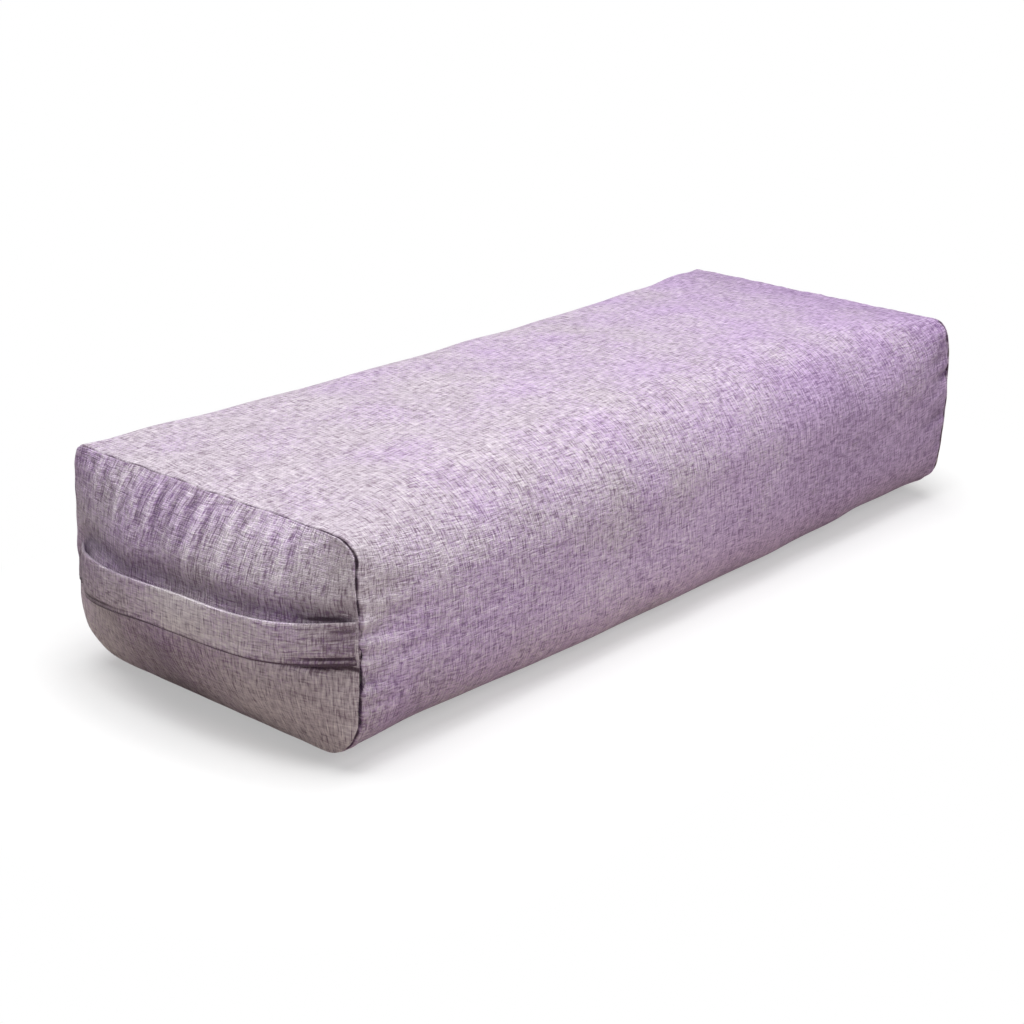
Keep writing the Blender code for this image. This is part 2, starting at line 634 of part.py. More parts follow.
def liner(finish):
    """A cotton bag of one body panel and two end panels, closed by its own seams."""
    rows = [row(x, inner_section(x)) for x in both_ways(*SHARED_ROWS, STEP_END, LINER_END)]
    thicken(add_object("liner_body", skin("liner_body", rows, closed=True), finish), LINER_FABRIC)
    loop = inner_section(LINER_END)
    rows = [row(LINER_END + 2 * CLEARANCE, loop), row(END + LIP - LINER_END_DROP, loop)]
    for scale in INNER_RINGS:
        y, z = ring(loop, scale)
        rows.append(row(end_face(y, z, LINER_END_DROP), (y, z)))
    tip = (float(end_face(0.0, END_MIDDLE, LINER_END_DROP)), 0.0, END_MIDDLE)
    for name, side in (("liner_end_near", -1), ("liner_end_far", 1)):
        thicken(add_object(name, mirrored_skin(name, side, rows, tip), finish), LINER_FABRIC)


def long_edge(low, high):
    """A rule that picks the edges along X at the low or the high face of the foam."""
    middle = (FOAM_LOW_ROOM + END_TOP - FOAM_TOP_ROOM) / 2

    def rule(edge):
        a, b = edge.verts[0].co, edge.verts[1].co
        along = abs(a.x - b.x) > FOAM_END
        return along and ((low and (a.z + b.z) / 2 < middle) or (high and (a.z + b.z) / 2 > middle))

    return rule


def foam(finishes):
    """Foam slabs one on another; the outer long edges of the lowest and the highest are trimmed round."""
    low, high = FOAM_LOW_ROOM, END_TOP - FOAM_TOP_ROOM
    half_width = END_WIDTH / 2 - FOAM_SIDE_ROOM
    count = len(FOAM_LAYERS)
    pitch = (high - low + CLEARANCE) / count
    for number, name in enumerate(FOAM_LAYERS):
        start = low + number * pitch
        outer = number in (0, count - 1)
        rule = long_edge(number == 0, number == count - 1) if outer else None
        box(
            name, (-FOAM_END, -half_width, start), (FOAM_END, half_width, start + pitch - CLEARANCE),
            finishes[number], rounded=rule,
        )


def fibre(finish):
    """Fibre wrapped round the foam and a domed pad at each end, which fill out the liner."""
    extra = LINER_FABRIC + CLEARANCE
    rows = [row(x, inner_section(x, extra)) for x in both_ways(*SHARED_ROWS)]
    wrap = add_object("fibre_wrap", skin("fibre_wrap", rows, closed=True, filled=True), finish)
    half_width = END_WIDTH / 2 - FOAM_SIDE_ROOM + CLEARANCE
    pocket = box(
        "foam_pocket",
        (-END, -half_width, FOAM_LOW_ROOM - CLEARANCE),
        (END, half_width, END_TOP - FOAM_TOP_ROOM + CLEARANCE),
        helper=True, rounded=long_edge(True, True),
    )
    join_or_cut(wrap, pocket, "DIFFERENCE")
    loop = inner_section(LINER_END, extra)
    rows = [
        row(FOAM_END + CLEARANCE, inner_section(FOAM_END, extra)),
        row(STEP_END, inner_section(STEP_END, extra)),
        row(LINER_END, loop),
    ]
    for scale in INNER_RINGS:
        y, z = ring(loop, scale)
        rows.append(row(end_face(y, z, FIBRE_END_DROP), (y, z)))
    tip = (float(end_face(0.0, END_MIDDLE, FIBRE_END_DROP)), 0.0, END_MIDDLE)
    for name, side in (("fibre_end_near", -1), ("fibre_end_far", 1)):
        add_object(name, mirrored_skin(name, side, rows, tip, filled=True), finish)


def build():
    clear_scene()
    cloth = material("cover_cloth", (0.42, 0.31, 0.45), 0.92)
    strap_cloth = material("handle_cloth", (0.36, 0.28, 0.39), 0.92)
    tape_cloth = material("zip_tape_cloth", (0.26, 0.20, 0.30), 0.9)
    tooth_plastic = material("zip_tooth_plastic", (0.24, 0.18, 0.29), 0.45)
    plated = material("zip_plated_metal", (0.55, 0.54, 0.56), 0.3, 1.0)
    cotton = material("liner_cotton", (0.80, 0.78, 0.73), 0.95)
    fluff = material("fibre_white", (0.88, 0.88, 0.86), 1.0)
    firm = material("foam_firm", (0.55, 0.60, 0.70), 0.95)
    soft = material("foam_soft", (0.85, 0.80, 0.62), 0.95)

    body_panel(cloth)
    for name, side in (("near", -1), ("far", 1)):
        end_panel(f"cover_end_{name}", side, cloth)
        handle(f"carry_handle_{name}", side, strap_cloth)
    zip_tapes(tape_cloth)
    tooth_row("zip_teeth_upper", 1, tooth_plastic)
    tooth_row("zip_teeth_lower", -1, tooth_plastic)
    zip_slider(plated)
    zip_pull(plated)
    zip_stops(plated)
    liner(cotton)
    fibre(fluff)
    foam((firm, soft, soft))


build()
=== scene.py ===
import math

import bmesh
import bpy
import numpy as np
from mathutils import Matrix


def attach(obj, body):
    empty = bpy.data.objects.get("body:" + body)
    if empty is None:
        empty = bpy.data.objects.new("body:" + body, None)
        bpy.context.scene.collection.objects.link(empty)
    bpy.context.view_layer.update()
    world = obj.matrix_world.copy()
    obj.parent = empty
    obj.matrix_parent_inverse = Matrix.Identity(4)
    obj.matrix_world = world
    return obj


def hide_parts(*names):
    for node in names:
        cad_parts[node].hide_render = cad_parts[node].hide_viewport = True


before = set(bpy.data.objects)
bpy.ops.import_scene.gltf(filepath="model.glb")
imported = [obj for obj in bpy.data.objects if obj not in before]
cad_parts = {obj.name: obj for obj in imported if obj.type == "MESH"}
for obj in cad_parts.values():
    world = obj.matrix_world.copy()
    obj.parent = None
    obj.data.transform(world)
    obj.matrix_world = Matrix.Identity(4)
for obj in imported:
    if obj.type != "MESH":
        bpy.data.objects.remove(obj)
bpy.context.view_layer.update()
print("frame loaded:", len(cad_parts), "nodes")


class Plan(dict):  # a piece's values, read as plan.name
    __getattr__ = dict.__getitem__


def mix(start, end, amount):  # the start plus that share of the way to the end
    return start + (end - start) * amount


def rise(value, start, length):  # 0 up to the start, then a straight rise to 1 over the length
    return np.clip((value - start) / length, 0, 1)


def fall(value, start, length):  # 1 up to the start, then a smooth fall to 0 over the length
    t = rise(value, start, length)
    return 1 - t * t * (3 - 2 * t)


def hump(value, place, width):  # a bell curve, 1 at its place
    return np.exp(-((value - place) / width) ** 2)


def easeOut(distance, reach):  # rises like a sine from 0 at distance 0 to 1 at the reach
    return np.sin(np.pi / 2 * rise(distance, 0, reach))


def flattened(wave, power):  # a sine or cosine raised to a power with its sign kept, as in a slot's outline
    return np.sign(wave) * np.abs(wave) ** power


def waves(u, v, size, count, seed, stretch=1.0):
    # soft noise: the mean of cosines of random direction and phase, about one size long, stretched along u
    draw = np.random.default_rng(seed)
    angle = draw.uniform(0, np.pi, count)
    pace = 2 * np.pi / (size * draw.uniform(0.7, 1.5, count))
    phase = draw.uniform(0, 2 * np.pi, count)
    total = np.zeros(np.broadcast(u, v).shape)
    for a, k, p in zip(angle, pace, phase):
        total += np.cos(k * (u * np.cos(a) / stretch + v * np.sin(a)) + p)
    return total / math.sqrt(count / 2)


def softened(values):  # three rounds of a 1-4-6-4-1 mean along the second axis, with its ends held
    for _ in range(3):
        before, after = 2 * values[:, :1] - values[:, 2:0:-1], 2 * values[:, -1:] - values[:, -2:-4:-1]
        padded = np.concatenate([before, values, after], axis=1)
        values = sum(w * padded[:, k:k + values.shape[1]] for k, w in enumerate((1, 4, 6, 4, 1))) / 16
    return values


def rowsOf(x, loops):  # a grid from places along X and the loops there
    y, z = loops
    return np.stack([np.broadcast_to(x[:, None], y.shape), y, z], axis=2)


def gridQuads(rows, cols, wrap=False):  # the corners of a grid's quads as row and column numbers
    i, j = np.meshgrid(np.arange(rows - 1), np.arange(cols if wrap else cols - 1), indexing="ij")
    rowNumber = np.stack([i, i, i + 1, i + 1], axis=-1).reshape(-1, 4)
    colNumber = np.stack([j, j + 1, j + 1, j], axis=-1).reshape(-1, 4)
    return rowNumber, colNumber


def tubeQuads(rows, cols):  # point numbers of the quads of a grid whose last column joins the first
    rowNumber, colNumber = gridQuads(rows, cols, wrap=True)
    return rowNumber * cols + colNumber % cols


def closedQuads(rows, cols):  # the same with both ends closed by quads across, for an even number of columns
    k = np.arange(cols // 2 - 1)
    cap = np.stack([k, k + 1, cols - 2 - k, cols - 1 - k], axis=-1)
    return np.concatenate([tubeQuads(rows, cols), cap[:, ::-1], cap + (rows - 1) * cols])


def copied(shapes, faces):  # copies (n, points, 3) of one small shape as one set of points and faces
    shift = (np.arange(len(shapes)) * shapes.shape[1])[:, None, None]
    return shapes.reshape(-1, 3), (faces + shift).reshape(-1, faces.shape[1])


def store(data, key, values, kind=np.float32):  # writes a whole array into a mesh's data
    data.foreach_set(key, np.asarray(values, kind).ravel())


def unit(vectors):  # each vector divided by its length
    return vectors / np.maximum(np.linalg.norm(vectors, axis=-1, keepdims=True), 1e-12)


def gridNormals(points):  # unit normals of a grid from its neighbours' differences along rows and columns
    return unit(np.cross(np.gradient(points, axis=1), np.gradient(points, axis=0)))


def addObject(name, data):
    made = bpy.data.objects.new(name, data)
    bpy.context.scene.collection.objects.link(made)
    return made


def makePiece(name, points, faces, uv=None, shade=None):
    # points (n, 3), faces as lists of equal-length arrays of corners, uv one pair for every corner, shade one
    # value for every point of painted shade: above 0 painted darker in a seam or a crease, below 0 painted
    # lighter on ridges
    mesh = bpy.data.meshes.new(name)
    mesh.vertices.add(len(points))
    store(mesh.vertices, "co", points)
    corners = np.concatenate([f.ravel() for f in faces])
    sizes = np.concatenate([np.full(len(f), f.shape[1]) for f in faces])
    mesh.loops.add(len(corners))
    store(mesh.loops, "vertex_index", corners, np.int32)
    mesh.polygons.add(len(sizes))
    store(mesh.polygons, "loop_start", np.cumsum(sizes) - sizes, np.int32)
    mesh.update(calc_edges=True)
    mesh.shade_smooth()
    if uv is not None:
        store(mesh.uv_layers.new(name="weave").data, "uv", uv)
    if shade is not None:
        store(mesh.attributes.new("shade", "FLOAT", "POINT").data, "value", shade)
    mesh.validate()
    return addObject(name, mesh)


def gridPiece(name, points, uv=None, wrap=False, flip=False, poles=(None, None), poleUv=None, shade=None):
    # a skin through a grid of points; uv has one column more where the grid wraps; poles close the first
    # and the last row with a fan
    rows, cols = points.shape[:2]
    if uv is None:
        uv = np.zeros((rows, cols + 1, 2))
    rowNumber, colNumber = gridQuads(rows, cols, wrap)
    faces = [rowNumber * cols + colNumber % cols]
    corners = [uv[rowNumber, colNumber].reshape(-1, 2)]
    flat = points.reshape(-1, 3)
    j = np.arange(cols if wrap else cols - 1)
    k = (j + 1) % cols
    for pole, row in zip(poles, (0, rows - 1)):
        if pole is None:
            continue
        near, far = (j, k) if row else (k, j)
        tip = np.full(len(j), len(flat))
        flat = np.concatenate([flat, [pole]])
        faces.append(np.stack([row * cols + near, row * cols + far, tip], axis=-1))
        middle = np.tile(uv[row].mean(axis=0) if poleUv is None else poleUv, (len(j), 1))
        corners.append(np.stack([uv[row, near], uv[row, far], middle], axis=1).reshape(-1, 2))
    if flip:
        corners = [c.reshape(len(f), -1, 2)[:, ::-1].reshape(-1, 2) for f, c in zip(faces, corners)]
        faces = [f[:, ::-1] for f in faces]
    if shade is not None:
        shade = np.concatenate([shade.ravel(), np.zeros(len(flat) - rows * cols)])
    return makePiece(name, flat, faces, np.concatenate(corners), shade)


def outwards(piece):  # turns every face of a closed mesh outwards
    made = bmesh.new()
    made.from_mesh(piece.data)
    bmesh.ops.recalc_face_normals(made, faces=made.faces)
    made.to_mesh(piece.data)
    made.free()
    return piece


def finishPiece(piece, slotName, finish, *replaced, wall=0.0):  # the wall goes inwards from the skin
    if wall:
        solid = piece.modifiers.new("cloth thickness", "SOLIDIFY")
        solid.thickness, solid.offset, solid.use_even_offset = wall, -1.0, False
    piece.data.materials.clear()
    piece.data.materials.append(finish)
    if replaced:
        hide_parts(*replaced)
    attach(piece, "root")
    return piece


class Wire:  # a node's output that takes part in sums
    def __init__(self, paint, socket):
        self.paint = paint
        self.socket = socket

    def math(self, operation, *others, clamp=False):
        return self.paint.node("Math", dict(operation=operation, use_clamp=clamp), [self, *others])

    def size(self):
        return self.math("ABSOLUTE")

    def clamped(self):
        return self.math("ADD", 0.0, clamp=True)


def giveOperator(name, operation):  # an operator of wires and its reflected form
    setting = dict(operation=operation)
    setattr(Wire, f"__{name}__", lambda self, other: self.paint.node("Math", setting, [self, other]))
    setattr(Wire, f"__r{name}__", lambda self, other: self.paint.node("Math", setting, [other, self]))


for name, operation in zip(("add", "sub", "mul", "truediv", "mod"),
                           ("ADD", "SUBTRACT", "MULTIPLY", "DIVIDE", "FLOORED_MODULO")):
    giveOperator(name, operation)


class NodeTree:  # adds nodes to a tree
    def __init__(self, owner):
        owner.use_nodes = True
        self.tree = owner.node_tree

    def node(self, kind, settings=None, inputs=None, out=0):
        made = self.tree.nodes.new("ShaderNode" + kind)
        for key, value in (settings or {}).items():
            if key == "stops":
                while len(made.color_ramp.elements) < len(value):
                    made.color_ramp.elements.new(0.5)
                for element, (place, colour) in zip(made.color_ramp.elements, value):
                    element.position = place
                    element.color = (*colour, 1.0)
            else:
                setattr(made, key, value)
        for key, value in inputs.items() if isinstance(inputs, dict) else enumerate(inputs or []):
            if isinstance(value, Wire):
                self.tree.links.new(value.socket, made.inputs[key])
            else:
                made.inputs[key].default_value = value
        return Wire(self, made.outputs[out])

    def outputs(self, wire, *keys):
        return [Wire(self, wire.socket.node.outputs[key]) for key in keys]

    def split(self, wire):
        return self.outputs(self.node("SeparateXYZ", None, [wire]), 0, 1, 2)

    def join(self, x, y):
        return self.node("CombineXYZ", None, [x, y, 0.0])

    def noise(self, vector, scale=1.0, detail=1.0, rough=0.5, flat=True):
        return self.node(
            "TexNoise", dict(noise_dimensions="2D" if flat else "3D"),
            dict(Vector=vector, Scale=scale, Detail=detail, Roughness=rough),
        )

    def blend(self, factor, first, second, kind="MIX"):
        return self.node(
            "Mix", dict(data_type="RGBA", blend_type=kind, clamp_factor=True),
            {0: factor, 6: first, 7: second}, out=2,
        )

    def ramp(self, factor, stops):
        return self.node("ValToRGB", dict(stops=stops), [factor])

    def bump(self, height, distance):
        return self.node("Bump", None, dict(Strength=1.0, Distance=distance, Height=height))

    def finish(self, factor, first, second, output):  # ends the tree in a mix of two shaders
        both = self.node("MixShader", None, [factor, first, second])
        self.tree.links.new(both.socket, self.tree.nodes[output].inputs["Surface"])


class Paint(NodeTree):  # a material with the constant values of its shader
    def __init__(self, name, constants):
        self.material = bpy.data.materials.new(name)
        super().__init__(self.material)
        self.shader = self.tree.nodes["Principled BSDF"]
        for key, value in constants.items():
            self.shader.inputs[key].default_value = value

    def feed(self, key, wire):
        self.tree.links.new(wire.socket, self.shader.inputs[key])


def clothPaint(name, look):
    # plain weave of two sets of yarns: each yarn has a shade of its own that drifts along it, the sets take
    # turns on top in a checker of cells, and slubs and dark ends of fibre run along both sets
    paint = Paint(name, {
        "Roughness": look.roughness, "Sheen Weight": look.sheen, "Sheen Roughness": look.sheenSpread,
        "Sheen Tint": (*look.sheenTint, 1.0), "Specular IOR Level": look.gloss,
    })
    uv = paint.node("UVMap", dict(uv_map="weave"))
    place = paint.node("TexCoord", out=3)
    u, v, _ = paint.split(uv)
    wobble, waver = (paint.noise(at, look.wanderScale) - 0.5 for at in (uv, paint.join(u + 3.0, v + 3.0)))
    u, v = u + wobble * look.wander, v + waver * look.wander
    rows, cols = v / look.pitch, u / look.pitch
    lying, upright = look.sets
    yarns, slubs, rounds, dashes = [], [], [], []
    # each set: along and across its yarns, its cells, its weight, and where its noises start
    for along, across, cells, weight, start, dashStart in (
        (u, v, rows, lying, 0.0, 3.0), (v, u, cols, upright, 41.0, 8.0),
    ):
        number = cells.math("FLOOR")
        yarn = paint.noise(paint.join(along * look.drift + start, number * 7.37), 1.0, look.yarnDetail)
        slub = paint.noise(paint.join(along * look.slubLength + start, across * look.slubWidth))
        dash = paint.noise(paint.join(along * look.dashLength + dashStart, across * look.dashWidth), 1.0, 0.0)
        yarns.append(yarn - 0.5)
        slubs.append(slub - 0.5)
        dashes.append(((dash - look.dashLeast) * look.dashSharp).clamped() * (look.dashShade * weight))
        rounds.append((cells % 1.0 - 0.5).size() * 2.0)
    checker = (rows.math("FLOOR") + cols.math("FLOOR")) % 2.0
    onTop = ((yarns[0] - yarns[1]) * look.turns + checker).clamped()
    slub = slubs[0] + slubs[1]
    edge = rounds[1] + (rounds[0] - rounds[1]) * onTop
    through, over = look.through, 1 - look.through
    shade = yarns[0] * (onTop * over + through) * lying + yarns[1] * (1.0 - onTop * over) * upright
    shade = 0.5 + shade * look.yarnContrast + (slubs[0] * lying + slubs[1] * upright) * look.slubContrast
    mottle = paint.noise(place, look.mottleScale, 2.0, flat=False)
    shade = shade + (mottle - 0.5) * look.mottle - edge * edge * look.gapShade - dashes[0] - dashes[1]
    # painted shade and painted highlights from each piece's shade attribute: darker where it is above 0,
    # lighter where below
    paintedShade = paint.node("Attribute", dict(attribute_name="shade"), out=2)
    shade = shade - paintedShade * look.wornShade
    # where the violet yarns show: by place, in patches, in specks and in the painted shade
    x, y, z = paint.split(place)
    patches = paint.noise(place, look.patchScale, 2.0, flat=False)
    specks = paint.noise(paint.join(u * look.speckScale, v * look.speckScale + 5.0), 1.0, 2.0, 0.7)
    # painted warm bounce light from the floor: the cloth is tinted warmer and less violet low down
    low = ((look.warmBelow - z) / look.warmBelow).clamped()
    violet = x * look.violetPace + y * look.violetAcross + (look.violetTop - z) * look.violetDown
    violet = violet + look.violetMiddle + (patches - 0.5) * look.patchiness + paintedShade * look.violetWorn
    violet = violet - low * look.violetLow + (specks - 0.5) * look.specks - slub * look.violetSlub
    grey, strong = paint.ramp(shade, look.greyYarns), paint.ramp(shade, look.violetYarns)
    colour = paint.blend(violet.clamped(), grey, strong)
    colour = paint.blend(low, colour, (*look.warm, 1.0), "MULTIPLY")
    # painted shadow: where the painted shade is deep, in seams and creases, the colour is darkened and greyed
    # further
    sunk = ((paintedShade - look.sunkFrom) * look.sunkSharp).clamped()
    paint.feed("Base Color", paint.blend(sunk, colour, (*look.sunk, 1.0), "MULTIPLY"))
    paint.feed("Roughness", look.roughness + slubs[0] * look.slubRoughness)
    lift = (1.0 - edge * edge) * look.roundLift + slub * look.slubLift
    lift = lift + (yarns[0] * onTop + yarns[1] * (1.0 - onTop)) * look.yarnLift
    paint.feed("Normal", paint.bump(lift, look.bump))
    return paint.material


coverLook = Plan(
    roughness=0.86, slubRoughness=0.2, sheen=0.35, sheenSpread=0.45, sheenTint=(0.93, 0.88, 0.95), gloss=0.25,
    pitch=0.00115, wander=0.0008, wanderScale=90.0, drift=120.0, yarnDetail=1.5, turns=2.5, through=0.6,
    sets=(1.0, 1.0), slubLength=150.0, slubWidth=900.0, yarnContrast=0.85, slubContrast=0.42, gapShade=0.03,
    # wornShade is the painted shade's weight; sunk, sunkFrom and sunkSharp are the colour, start and sharpness
    # of the painted shadow in seams and creases
    mottle=0.14, mottleScale=26.0, wornShade=0.45, sunk=(0.36, 0.31, 0.34), sunkFrom=0.35, sunkSharp=1.6,
    dashLength=140.0, dashWidth=1000.0, dashLeast=0.59, dashSharp=5.0, dashShade=0.30,
    bump=0.0006, roundLift=0.35, slubLift=1.0, yarnLift=1.4,
    violetPace=1.35, violetAcross=0.0, violetDown=8.0, violetTop=0.15, violetMiddle=0.32,
    # violetWorn is the violet that the painted shade brings
    violetWorn=0.3, violetSlub=0.4, patchScale=22.0, patchiness=1.8, speckScale=420.0, specks=1.6,
    # painted warm bounce light low down: the height it reaches, its tint, and the violet it takes away
    warmBelow=0.055, warm=(1.02, 0.98, 0.90), violetLow=0.45,
    greyYarns=[(0.0, (0.265, 0.190, 0.250)), (0.5, (0.640, 0.552, 0.635)), (1.0, (0.960, 0.890, 0.940))],
    violetYarns=[(0.0, (0.255, 0.145, 0.325)), (0.5, (0.635, 0.450, 0.725)), (1.0, (0.950, 0.815, 1.000))],
)
endLook = Plan(
    # violetWorn here is the violet that the painted shade brings on the ends
    coverLook, pitch=0.00092, sets=(0.72, 1.2), violetWorn=0.1, violetPace=0.0, violetAcross=1.5,
    violetDown=-3.0, violetMiddle=0.45, violetLow=0.2, warmBelow=0.100,
)
coverCloth = clothPaint("coverCloth", coverLook)
endCloth = clothPaint("endCloth", endLook)
handleCloth = clothPaint("handleCloth", Plan(endLook, violetMiddle=0.42, violetAcross=0.0, sets=(1.0, 1.0)))


def shadesOf(colour, spread):  # a darker and a lighter form of a colour
    return [tuple(min(1.0, c * (1 + change)) for c in colour) for change in (-spread, spread)]


def plainPaint(name, colour, roughness, scale, spread, bump, metallic=0.0):
    # a plain finish with a fine grain in its colour, roughness and relief
    paint = Paint(name, {"Roughness": roughness, "Metallic": metallic})
    grain = paint.noise(paint.node("TexCoord", out=3), scale, 3.0, 0.6, flat=False)
    dark, light = shadesOf(colour, spread)
    paint.feed("Base Color", paint.ramp(grain, [(0.3, dark), (0.7, light)]))
    paint.feed("Roughness", roughness + (grain - 0.5) * 0.25)
    paint.feed("Normal", paint.bump(grain, bump))
    return paint.material


def wovenPaint(name, colour, pitch, spread, bump, tilt=0.0):
    # fine even weave on object coordinates along X and Z: ribs of threads in turn over and under
    paint = Paint(name, {"Roughness": 0.9, "Sheen Weight": 0.2})
    place = paint.node("TexCoord", out=3)
    x, y, z = paint.split(place)
    across = (x / pitch + z * tilt / pitch) % 1.0
    up = (z / pitch + y / pitch) % 1.0
    rib = (across - 0.5).size() + (up - 0.5).size()
    shade = (rib + paint.noise(place, 300.0, 2.0, flat=False)) * 0.5
    dark, light = shadesOf(colour, spread)
    paint.feed("Base Color", paint.ramp(shade, [(0.2, light), (0.8, dark)]))
    paint.feed("Normal", paint.bump(1.0 - rib, bump))
    return paint.material


tapeCloth = wovenPaint("zipTapeCloth", (0.26, 0.20, 0.29), 0.0009, 0.28, 0.0002, tilt=0.5)
linerCotton = wovenPaint("linerCotton", (0.80, 0.78, 0.73), 0.0007, 0.08, 0.0001)
toothPlastic = plainPaint("zipToothPlastic", (0.24, 0.18, 0.28), 0.42, 900.0, 0.12, 0.00004)
platedMetal = plainPaint("zipPlatedMetal", (0.58, 0.57, 0.59), 0.26, 1400.0, 0.08, 0.00002, metallic=1.0)
fibreWhite = plainPaint("fibreWhite", (0.88, 0.88, 0.86), 1.0, 420.0, 0.06, 0.0015)
foamFirm = plainPaint("foamFirm", (0.55, 0.60, 0.70), 0.95, 1100.0, 0.12, 0.0006)
foamSoft = plainPaint("foamSoft", (0.85, 0.80, 0.62), 0.95, 900.0, 0.10, 0.0006)
sewingThread = plainPaint("sewingThread", (0.40, 0.30, 0.43), 0.6, 2500.0, 0.2, 0.00005)
print("materials made")


cover = Plan(
    end=0.313, width=0.234, endTaper=0.001, belly=0.0045, height=0.150, crown=0.0035, pressed=0.0005,
    endDrop=0.0105, endLift=0.0075,
    reaches=(0.250, 0.270, 0.100),   # how far in from an end the form, the corners and the front corners change
    topRadius=0.044, lowRadius=0.037, frontRadius=0.052, endTopRadius=0.013, endLowRadius=0.039,
    backEndRadius=0.0035, frontLowRadius=0.024, edgeRadius=0.0010,
    heel=0.0032, heelAt=0.034, heelWidth=0.015,   # the back side's lower edge stands out a little at the ends
    bulge=0.026, bulgePower=2.4, upperPower=2.9, thickness=0.0012, grooveDepth=0.0034,
    lip=0.0016, lipInset=0.0006, lipRadius=0.0009,
)
zipPlan = Plan(height=0.060, seat=0.113, flat=0.0055, fade=0.022, end=0.224, endFade=0.048, opening=0.212,
               taper=0.012, halfGap=0.0047, shutGap=0.0001, hem=0.0010)
# points on the straight runs and on the corners in turn, from the zip's line over the top and back
coverCounts = (40, 40, 96, 40, 60, 32, 44, 32, 16)
endCounts = (36, 30, 150, 30, 44, 30, 60, 30, 20)
innerCounts = (16, 10, 24, 10, 16, 9, 12, 9, 8)
slabCounts = (8, 6, 30, 6, 8, 6, 30, 6, 2)
endWidth = cover.width - cover.endTaper
endTop = cover.height - cover.endDrop
endMiddle = (endTop + cover.endLift) / 2
bothEnds = (("Near", -1), ("Far", 1))


def roundedLoop(side, low, high, radii, counts, start, gap=0.0):
    # a rounded rectangle from the start height at +Y over the top and back underneath: a straight run and a
    # quarter circle for each of the four radii in that order, and a last run
    side, low, high = np.broadcast_arrays(side, low, high)
    centres = [(side, high, -1, -1), (-side, high, 1, -1), (-side, low, 1, 1), (side, low, -1, 1)]
    atY, atZ = side, start + gap
    y, z = [], []
    for corner, (radius, (edgeY, edgeZ, inY, inZ)) in enumerate(zip(radii, centres)):
        run, arc = counts[2 * corner:2 * corner + 2]
        t = np.arange(run) / run
        angle = np.radians(90 * corner + 90 * np.arange(arc + 1) / arc)
        arcY = edgeY + inY * radius + radius * np.cos(angle)
        arcZ = edgeZ + inZ * radius + radius * np.sin(angle)
        y += [mix(atY, arcY[:, :1], t), arcY[:, :-1]]
        z += [mix(atZ, arcZ[:, :1], t), arcZ[:, :-1]]
        atY, atZ = arcY[:, -1:], arcZ[:, -1:]
    t = np.arange(counts[8]) / counts[8]
    y, z = y + [mix(atY, side, t)], z + [mix(atZ, start - gap, t)]
    return np.concatenate(y, axis=1), np.concatenate(z, axis=1)


def coverSection(x, inset=0.0, halfGap=None, counts=coverCounts, seat=zipPlan.seat, flat=zipPlan.flat):
    # rounded rectangle with a crown on top and a belly on each side, drawn in to the seat along the zip and
    # pressed flat underneath; with a half gap the curve is open there and has a last point of its own
    x = np.abs(np.atleast_1d(x))[:, None]
    gap = 0.0 if halfGap is None else halfGap
    inset, gap = (np.broadcast_to(np.atleast_1d(v), len(x))[:, None] for v in (inset, gap))
    form, corner, front = (easeOut(cover.end - x, reach) for reach in cover.reaches)
    side = mix(endWidth, cover.width, form) / 2 - inset
    low = mix(cover.endLift, -cover.pressed, form) + inset
    high = mix(endTop, cover.height - cover.crown, form) - inset
    radii = [mix(atEnd, inMiddle, amount) - inset for atEnd, inMiddle, amount in (
        (cover.backEndRadius, cover.topRadius, corner), (cover.endTopRadius, cover.frontRadius, front),
        (cover.frontLowRadius, cover.lowRadius, front), (cover.endLowRadius, cover.lowRadius, corner))]
    y, z = roundedLoop(side, low, high, radii, counts, zipPlan.height, gap)
    if halfGap is not None:
        y = np.concatenate([y, side], axis=1)
        z = np.concatenate([z, zipPlan.height - gap], axis=1)
    up = rise(z, low, high - low)
    across = np.clip(np.abs(y) / side, 0, 1)
    outer = rise(across, 0.5, 0.5)
    z = z + cover.crown * form * np.cos(across * np.pi / 2) * rise(up, 0.5, 0.5)
    y = y + cover.belly * np.sign(y) * np.sin(up * np.pi) * outer
    y = y + cover.heel * (1 - form) * (y > 0) * hump(z, cover.heelAt, cover.heelWidth) * outer
    drawn = fall(np.abs(z - zipPlan.height), flat, zipPlan.fade) * fall(x, zipPlan.end, zipPlan.endFade)
    y = y + np.where(y > seat, (seat - y) * drawn, 0.0)
    if counts is coverCounts:
        y, z = softened(y), softened(z)
    return y, np.maximum(z, inset)


def stations(fine, coarse, reach, growth):
    # places along X: steps that grow from fine at an end seam to coarse further in, mirrored
    steps = [0.0]
    while steps[-1] < reach:
        steps.append(steps[-1] + min(coarse, fine + steps[-1] * growth))
    outer = cover.end - np.array(steps)
    inner = np.linspace(-outer[-1], outer[-1], int(2 * outer[-1] / coarse) + 1)
    return np.concatenate([-outer[:-1], inner, outer[-2::-1]])


def offFloor(z):  # 0 where the cloth lies on the floor, rising to 1 at 16 mm
    return 1 - fall(z, 0.004, 0.012)


def shownSide(y, z):  # 1 beside the shown side's end seam, falling to 0 towards the top and the underside
    return rise(-y, 0.085, 0.025) * offFloor(z)


def seamWander(y, z):  # how far an end seam strays along X, the same for both panels that meet in it
    return waves(y, z, 0.022, 9, 5) * 0.0005 * (1 - 0.8 * fall(z, 0.010, 0.02))


def lipWander(y, z):  # the same for the end panel's lip, which lies closer to the body panel along the top
    return seamWander(y, z) - 0.0005 * rise(z, 0.128, 0.006)


def seamTone(y, z):  # how much painted shade a seam's groove gets: most beside the shown side, least over the top's middle
    quiet = rise(z, 0.12, 0.01) * hump(y, -0.01, 0.06)
    return 0.38 + 0.42 * shownSide(y, z) - 0.40 * quiet + waves(y, z, 0.008, 8, 6) * 0.35


